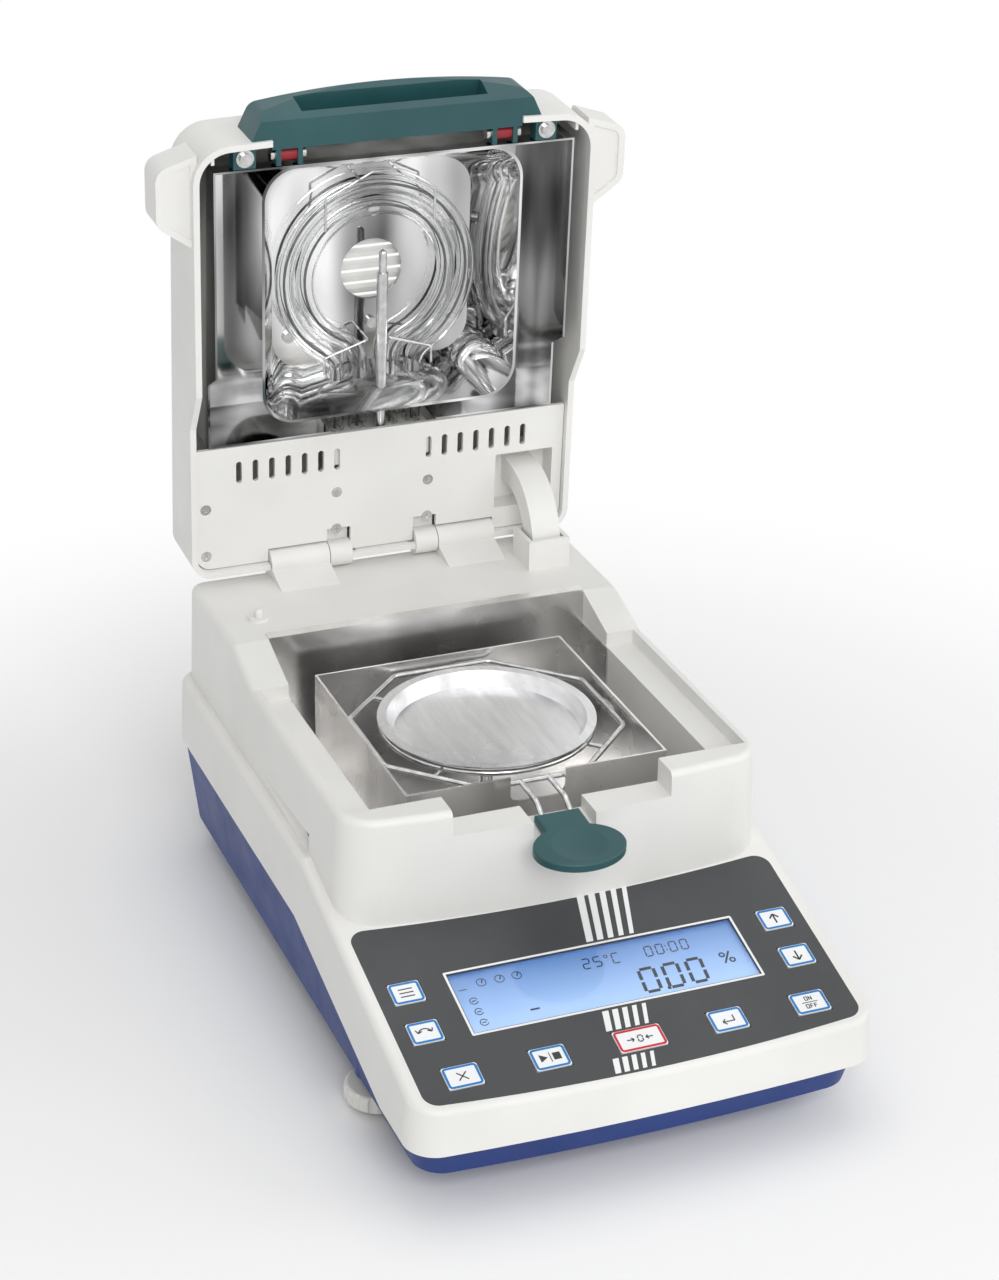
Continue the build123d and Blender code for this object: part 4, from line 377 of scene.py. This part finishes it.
def arc_bars(x, down, radius, start, end, width, steps=10):
    """Arc as a run of short bars."""
    shapes = []
    for i in range(steps):
        a = radians(start + (end - start) * i / steps)
        b = radians(start + (end - start) * (i + 1) / steps)
        shapes.append([(x + (radius + width / 2) * cos(a), down + (radius + width / 2) * sin(a)),
                       (x + (radius + width / 2) * cos(b), down + (radius + width / 2) * sin(b)),
                       (x + (radius - width / 2) * cos(b), down + (radius - width / 2) * sin(b)),
                       (x + (radius - width / 2) * cos(a), down + (radius - width / 2) * sin(a))])
    return shapes


# Which of the seven segments each digit lights: a top, b upper right, c lower right, d bottom, e lower left,
# f upper left, g middle
DIGITS = {"0": "abcdef", "2": "abdeg", "5": "acdfg", "C": "adef"}


def digit(char, x, down, width, height, line):
    """Seven-segment digit with its foot at (x, down), leaning slightly."""
    gap = line * 0.25
    left, right, top, middle = 0, width, height, height / 2
    spans = {
        "a": (left, top, right, top), "g": (left, middle, right, middle), "d": (left, 0, right, 0),
        "f": (left, middle, left, top), "b": (right, middle, right, top),
        "e": (left, 0, left, middle), "c": (right, 0, right, middle),
    }
    shapes = []
    for key in DIGITS[char]:
        x0, h0, x1, h1 = spans[key]
        shift = Vector((x1 - x0, h1 - h0)).normalized() * (gap + line * 0.2)
        outline = bar(x0 + shift.x, h0 + shift.y, x1 - shift.x, h1 - shift.y, line)
        shapes.append([(x + px + DIGIT_LEAN * ph, down - ph) for px, ph in outline])
    return shapes


def digits(text, x, down, width, height, line, pitch):
    """Row of digits, with a point or colon as a small square."""
    shapes = []
    for char in text:
        if char == ".":
            shapes.append(bar(x - pitch * 0.12, down, x - pitch * 0.12 + line, down, line))
        elif char == ":":
            for share in (0.3, 0.7):
                shapes.append(bar(x - line, down - height * share, x, down - height * share, line))
            x += 2 * line
        else:
            shapes += digit(char, x, down, width, height, line)
            x += pitch
    return shapes


def stroke(points, width):
    """Bars along a list of points."""
    return [bar(*points[i], *points[i + 1], width) for i in range(len(points) - 1)]


def shifted(shapes, x, down):
    """Outlines moved to a place."""
    return [[(px + x, pd + down) for px, pd in outline] for outline in shapes]


def letter_strokes(char):
    """Strokes of the few plain capitals on the power key, one unit high."""
    table = {
        "O": [[(0, 0), (0.6, 0), (0.6, 1), (0, 1), (0, 0)]],
        "N": [[(0, 1), (0, 0), (0.6, 1), (0.6, 0)]],
        "F": [[(0, 1), (0, 0), (0.6, 0)], [(0, 0.5), (0.5, 0.5)]],
    }
    return table[char]


def word(text, height, line):
    """Centred word of plain capitals."""
    pitch = 0.95 * height
    start = -(pitch * (len(text) - 1) + 0.6 * height) / 2
    shapes = []
    for i, char in enumerate(text):
        for points in letter_strokes(char):
            placed = [(start + i * pitch + px * height, (pd - 0.5) * height) for px, pd in points]
            shapes += stroke(placed, line)
    return shapes


def key_icon(name):
    """Plain sign on a key, round its centre."""
    line = SIGN_LINE
    if name == "key_up":
        return stroke([(0, 2.6), (0, -2.4)], 0.7) + stroke([(-2, -0.4), (0, -2.6), (2, -0.4)], 0.7)
    if name == "key_down":
        return stroke([(0, -2.6), (0, 2.4)], 0.7) + stroke([(-2, 0.4), (0, 2.6), (2, 0.4)], 0.7)
    if name == "key_power":
        return (shifted(word("ON", 1.9, 0.32), 0, -2.1) + [bar(-3.4, 0, 3.4, 0, 0.3)]
                + shifted(word("OFF", 1.9, 0.32), 0, 2.1))
    if name == "key_enter":
        return (stroke([(2.6, -2), (2.6, 1), (-2.6, 1)], line)
                + stroke([(-1.2, -0.4), (-2.6, 1), (-1.2, 2.4)], line))
    if name == "key_tare":
        return (stroke([(-5.6, 0), (-2.6, 0)], line) + stroke([(-3.6, -1), (-2.6, 0), (-3.6, 1)], line)
                + digit("0", -1, 1.6, 2, 3.2, line)
                + stroke([(5.6, 0), (2.6, 0)], line) + stroke([(3.6, -1), (2.6, 0), (3.6, 1)], line))
    if name == "key_start_stop":
        return [[(-4.2, -2.2), (-1.0, -0.2), (-4.2, 1.8)], [(1.4, -2), (4.6, -2), (4.6, 1.6), (1.4, 1.6)],
                bar(0.2, -2.6, 0.2, 2.4, 0.3)]
    if name == "key_escape":
        return stroke([(-2, -2), (2, 2)], line) + stroke([(-2, 2), (2, -2)], line)
    if name == "key_unit":
        return (arc_bars(0, 1.2, 3, 200, 340, line) + stroke([(-3.6, -1.6), (-2.9, 0.2), (-1.2, -0.6)], line)
                + stroke([(3.6, -1.6), (2.9, 0.2), (1.2, -0.6)], line))
    return [bar(-3, d, 3, d, line) for d in (-2, 0, 2)]


def dress_keys():
    """Coloured outline and plain sign on each key."""
    for name, (x, down, width, height) in KEYS.items():
        colour = PRINTS["print_red"] if name == "key_tare" else PRINTS["print_blue"]
        print_frame(name + "_frame", x, down, width - KEY_FRAME_INSET, height - KEY_FRAME_INSET, KEY_CORNER,
                    KEY_FRAME_LINE, KEY_RISE, colour, name)
        print_shapes(name + "_sign", shifted(key_icon(name), x, down), KEY_RISE, PRINTS["print_ink"], name)


def stripe_x(share, down):
    """Place across the leaning, narrowing band of stripes."""
    left = BAND_LEFT - BAND_LEFT_LEAN * down
    right = BAND_RIGHT - BAND_RIGHT_LEAN * down
    return left + share * (right - left)


def dress_panel():
    """White line round the display and plain stripes down the film."""
    width = DISPLAY_WIDTH + DISPLAY_LINE_MARGIN
    height = DISPLAY_HEIGHT + DISPLAY_LINE_MARGIN
    print_frame("display_line", 0, DISPLAY_DOWN, width, height, DISPLAY_LINE_R, DISPLAY_LINE, 0.0,
                PRINTS["print_white"], "base")
    stripes = []
    for i in range(STRIPES):
        start = STRIPE_PITCH * i
        end = start + STRIPE_SHARE - STRIPE_THINNING * i
        for top, low in STRIPE_RUNS:
            stripes.append([(stripe_x(start, top), top), (stripe_x(end, top), top), (stripe_x(end, low), low),
                            (stripe_x(start, low), low)])
    print_shapes("panel_stripes", stripes, 0.0, PRINTS["print_white"], "base", PRINT_T / 2)


def dress_display():
    """Digits and plain status marks on the display."""
    shapes = digits("0.00", 14.0, LARGE_ROW, *LARGE_DIGIT)
    shapes += digits("00:00", 22.0, SMALL_ROW, *SMALL_DIGIT)
    shapes += digits("25", -6.0, SMALL_ROW, *SMALL_DIGIT)
    shapes += arc_bars(5.0, 38.6, 0.8, 0, 360, 0.4)
    shapes += digits("C", 7.2, SMALL_ROW, *SMALL_DIGIT)
    shapes += stroke([(52.5, 55.2), (56.4, 49.0)], 0.8) + arc_bars(52.8, 50.4, 1.1, 0, 360, 0.7)
    shapes += arc_bars(56.2, 54.0, 1.1, 0, 360, 0.7)
    shapes.append(bar(-36.0, 58.6, -32.0, 58.6, 0.9))
    for x in (-50.0, -42.0, -34.5):
        shapes += arc_bars(x, 39.0, 2.0, 0, 360, 0.35, 14)
        shapes.append(bar(x, 39.4, x + 0.9, 37.6, 0.5))
    for down in (48.0, 54.0, 60.0):
        shapes += arc_bars(-56.5, down, 1.7, 20, 340, 0.4, 12)
        shapes.append(bar(-57.4, down, -55.6, down, 0.5))
    shapes.append(bar(-60.5, 41.2, -57.0, 41.2, 0.4))
    print_shapes("display_segments", shapes, DISPLAY_RISE, PRINTS["print_segment"], "base", SEGMENT_T)


# Stage, light and camera

def seen_directly(nodes, links):
    """One for rays of the camera, of mirrors and through glass, nought for all others."""
    path = nodes.new("ShaderNodeLightPath")
    value = path.outputs["Is Camera Ray"]
    for other in ("Is Glossy Ray", "Is Transmission Ray"):
        either = nodes.new("ShaderNodeMath")
        either.operation = "MAXIMUM"
        links.new(value, either.inputs[0])
        links.new(path.outputs[other], either.inputs[1])
        value = either.outputs["Value"]
    return value


def studio_material(name, colour):
    """Pale paper that holds the shadow round the part and shows plain white further off."""
    mat, nodes, links, bsdf = new_material(name)
    bsdf.inputs["Base Color"].default_value = (*colour, 1)
    bsdf.inputs["Roughness"].default_value = 0.9
    coords = nodes.new("ShaderNodeTexCoord")
    distance = nodes.new("ShaderNodeVectorMath")
    distance.operation = "LENGTH"
    links.new(coords.outputs["Object"], distance.inputs[0])
    fade = nodes.new("ShaderNodeMapRange")
    fade.interpolation_type = "SMOOTHSTEP"
    fade.inputs["From Min"].default_value = FLOOR_WHITE_FROM
    fade.inputs["From Max"].default_value = FLOOR_WHITE_TO
    links.new(distance.outputs["Value"], fade.inputs["Value"])
    share = nodes.new("ShaderNodeMath")
    share.operation = "MULTIPLY"
    links.new(fade.outputs["Result"], share.inputs[0])
    links.new(seen_directly(nodes, links), share.inputs[1])
    white = add_node(nodes, "ShaderNodeEmission", Color=(1, 1, 1, 1), Strength=1.0)
    mix = nodes.new("ShaderNodeMixShader")
    links.new(share.outputs["Value"], mix.inputs["Fac"])
    links.new(bsdf.outputs["BSDF"], mix.inputs[1])
    links.new(white.outputs["Emission"], mix.inputs[2])
    links.new(mix.outputs["Shader"], nodes["Material Output"].inputs["Surface"])
    return mat


def add_floor():
    """Plain pale floor."""
    bm = bmesh.new()
    corners = ((-1, -1), (1, -1), (1, 1), (-1, 1))
    bm.faces.new([bm.verts.new((x * FLOOR_HALF, y * FLOOR_HALF, 0)) for x, y in corners])
    mesh = bpy.data.meshes.new("floor")
    bm.to_mesh(mesh)
    bm.free()
    floor = bpy.data.objects.new("floor", mesh)
    bpy.context.scene.collection.objects.link(floor)
    mesh.materials.append(studio_material("floor_paper", FLOOR_COLOUR))


def add_light(name, place, target, size, power):
    """Rectangular area light that faces a target."""
    light = bpy.data.lights.new(name, "AREA")
    light.shape = "RECTANGLE"
    light.size, light.size_y = size
    light.energy = power
    lamp = bpy.data.objects.new(name, light)
    bpy.context.scene.collection.objects.link(lamp)
    lamp.location = place
    direction = Vector(target) - Vector(place)
    lamp.rotation_euler = direction.to_track_quat("-Z", "Y").to_euler()


def set_world():
    """Plain light that shows white to the camera, in mirrors and through glass."""
    world = bpy.data.worlds.new("studio")
    bpy.context.scene.world = world
    world.use_nodes = True
    nodes = world.node_tree.nodes
    links = world.node_tree.links
    nodes.clear()
    out = nodes.new("ShaderNodeOutputWorld")
    mix = nodes.new("ShaderNodeMixShader")
    light = add_node(nodes, "ShaderNodeBackground", Color=(1, 1, 1, 1), Strength=WORLD_LIGHT)
    shown = add_node(nodes, "ShaderNodeBackground", Color=(1, 1, 1, 1), Strength=1.0)
    links.new(seen_directly(nodes, links), mix.inputs["Fac"])
    links.new(light.outputs["Background"], mix.inputs[1])
    links.new(shown.outputs["Background"], mix.inputs[2])
    links.new(mix.outputs["Shader"], out.inputs["Surface"])


def camera_matrix():
    """Camera axes from its azimuth, elevation and roll."""
    a, e, r = CAMERA_AZIMUTH, CAMERA_ELEVATION, CAMERA_ROLL
    back = Vector((sin(a) * cos(e), -cos(a) * cos(e), sin(e)))
    right = Vector((0, 0, 1)).cross(back).normalized()
    up = back.cross(right)
    turned_right = cos(r) * right + sin(r) * up
    turned_up = -sin(r) * right + cos(r) * up
    axes = Matrix((turned_right, turned_up, back)).transposed().to_4x4()
    return Matrix.Translation(Vector(CAMERA_PLACE) * MM) @ axes


def add_camera():
    """Camera at the photograph's place."""
    data = bpy.data.cameras.new("camera")
    data.lens = CAMERA_LENS
    data.sensor_width = 36.0
    data.clip_start = 0.05
    camera = bpy.data.objects.new("camera", data)
    bpy.context.scene.collection.objects.link(camera)
    camera.matrix_world = camera_matrix()
    bpy.context.scene.camera = camera


dress_nodes()
dress_keys()
dress_panel()
dress_display()
add_floor()
set_world()
for light_name, settings in LIGHTS.items():
    add_light(light_name, *settings)
add_camera()
bpy.context.scene.view_settings.view_transform = "Standard"
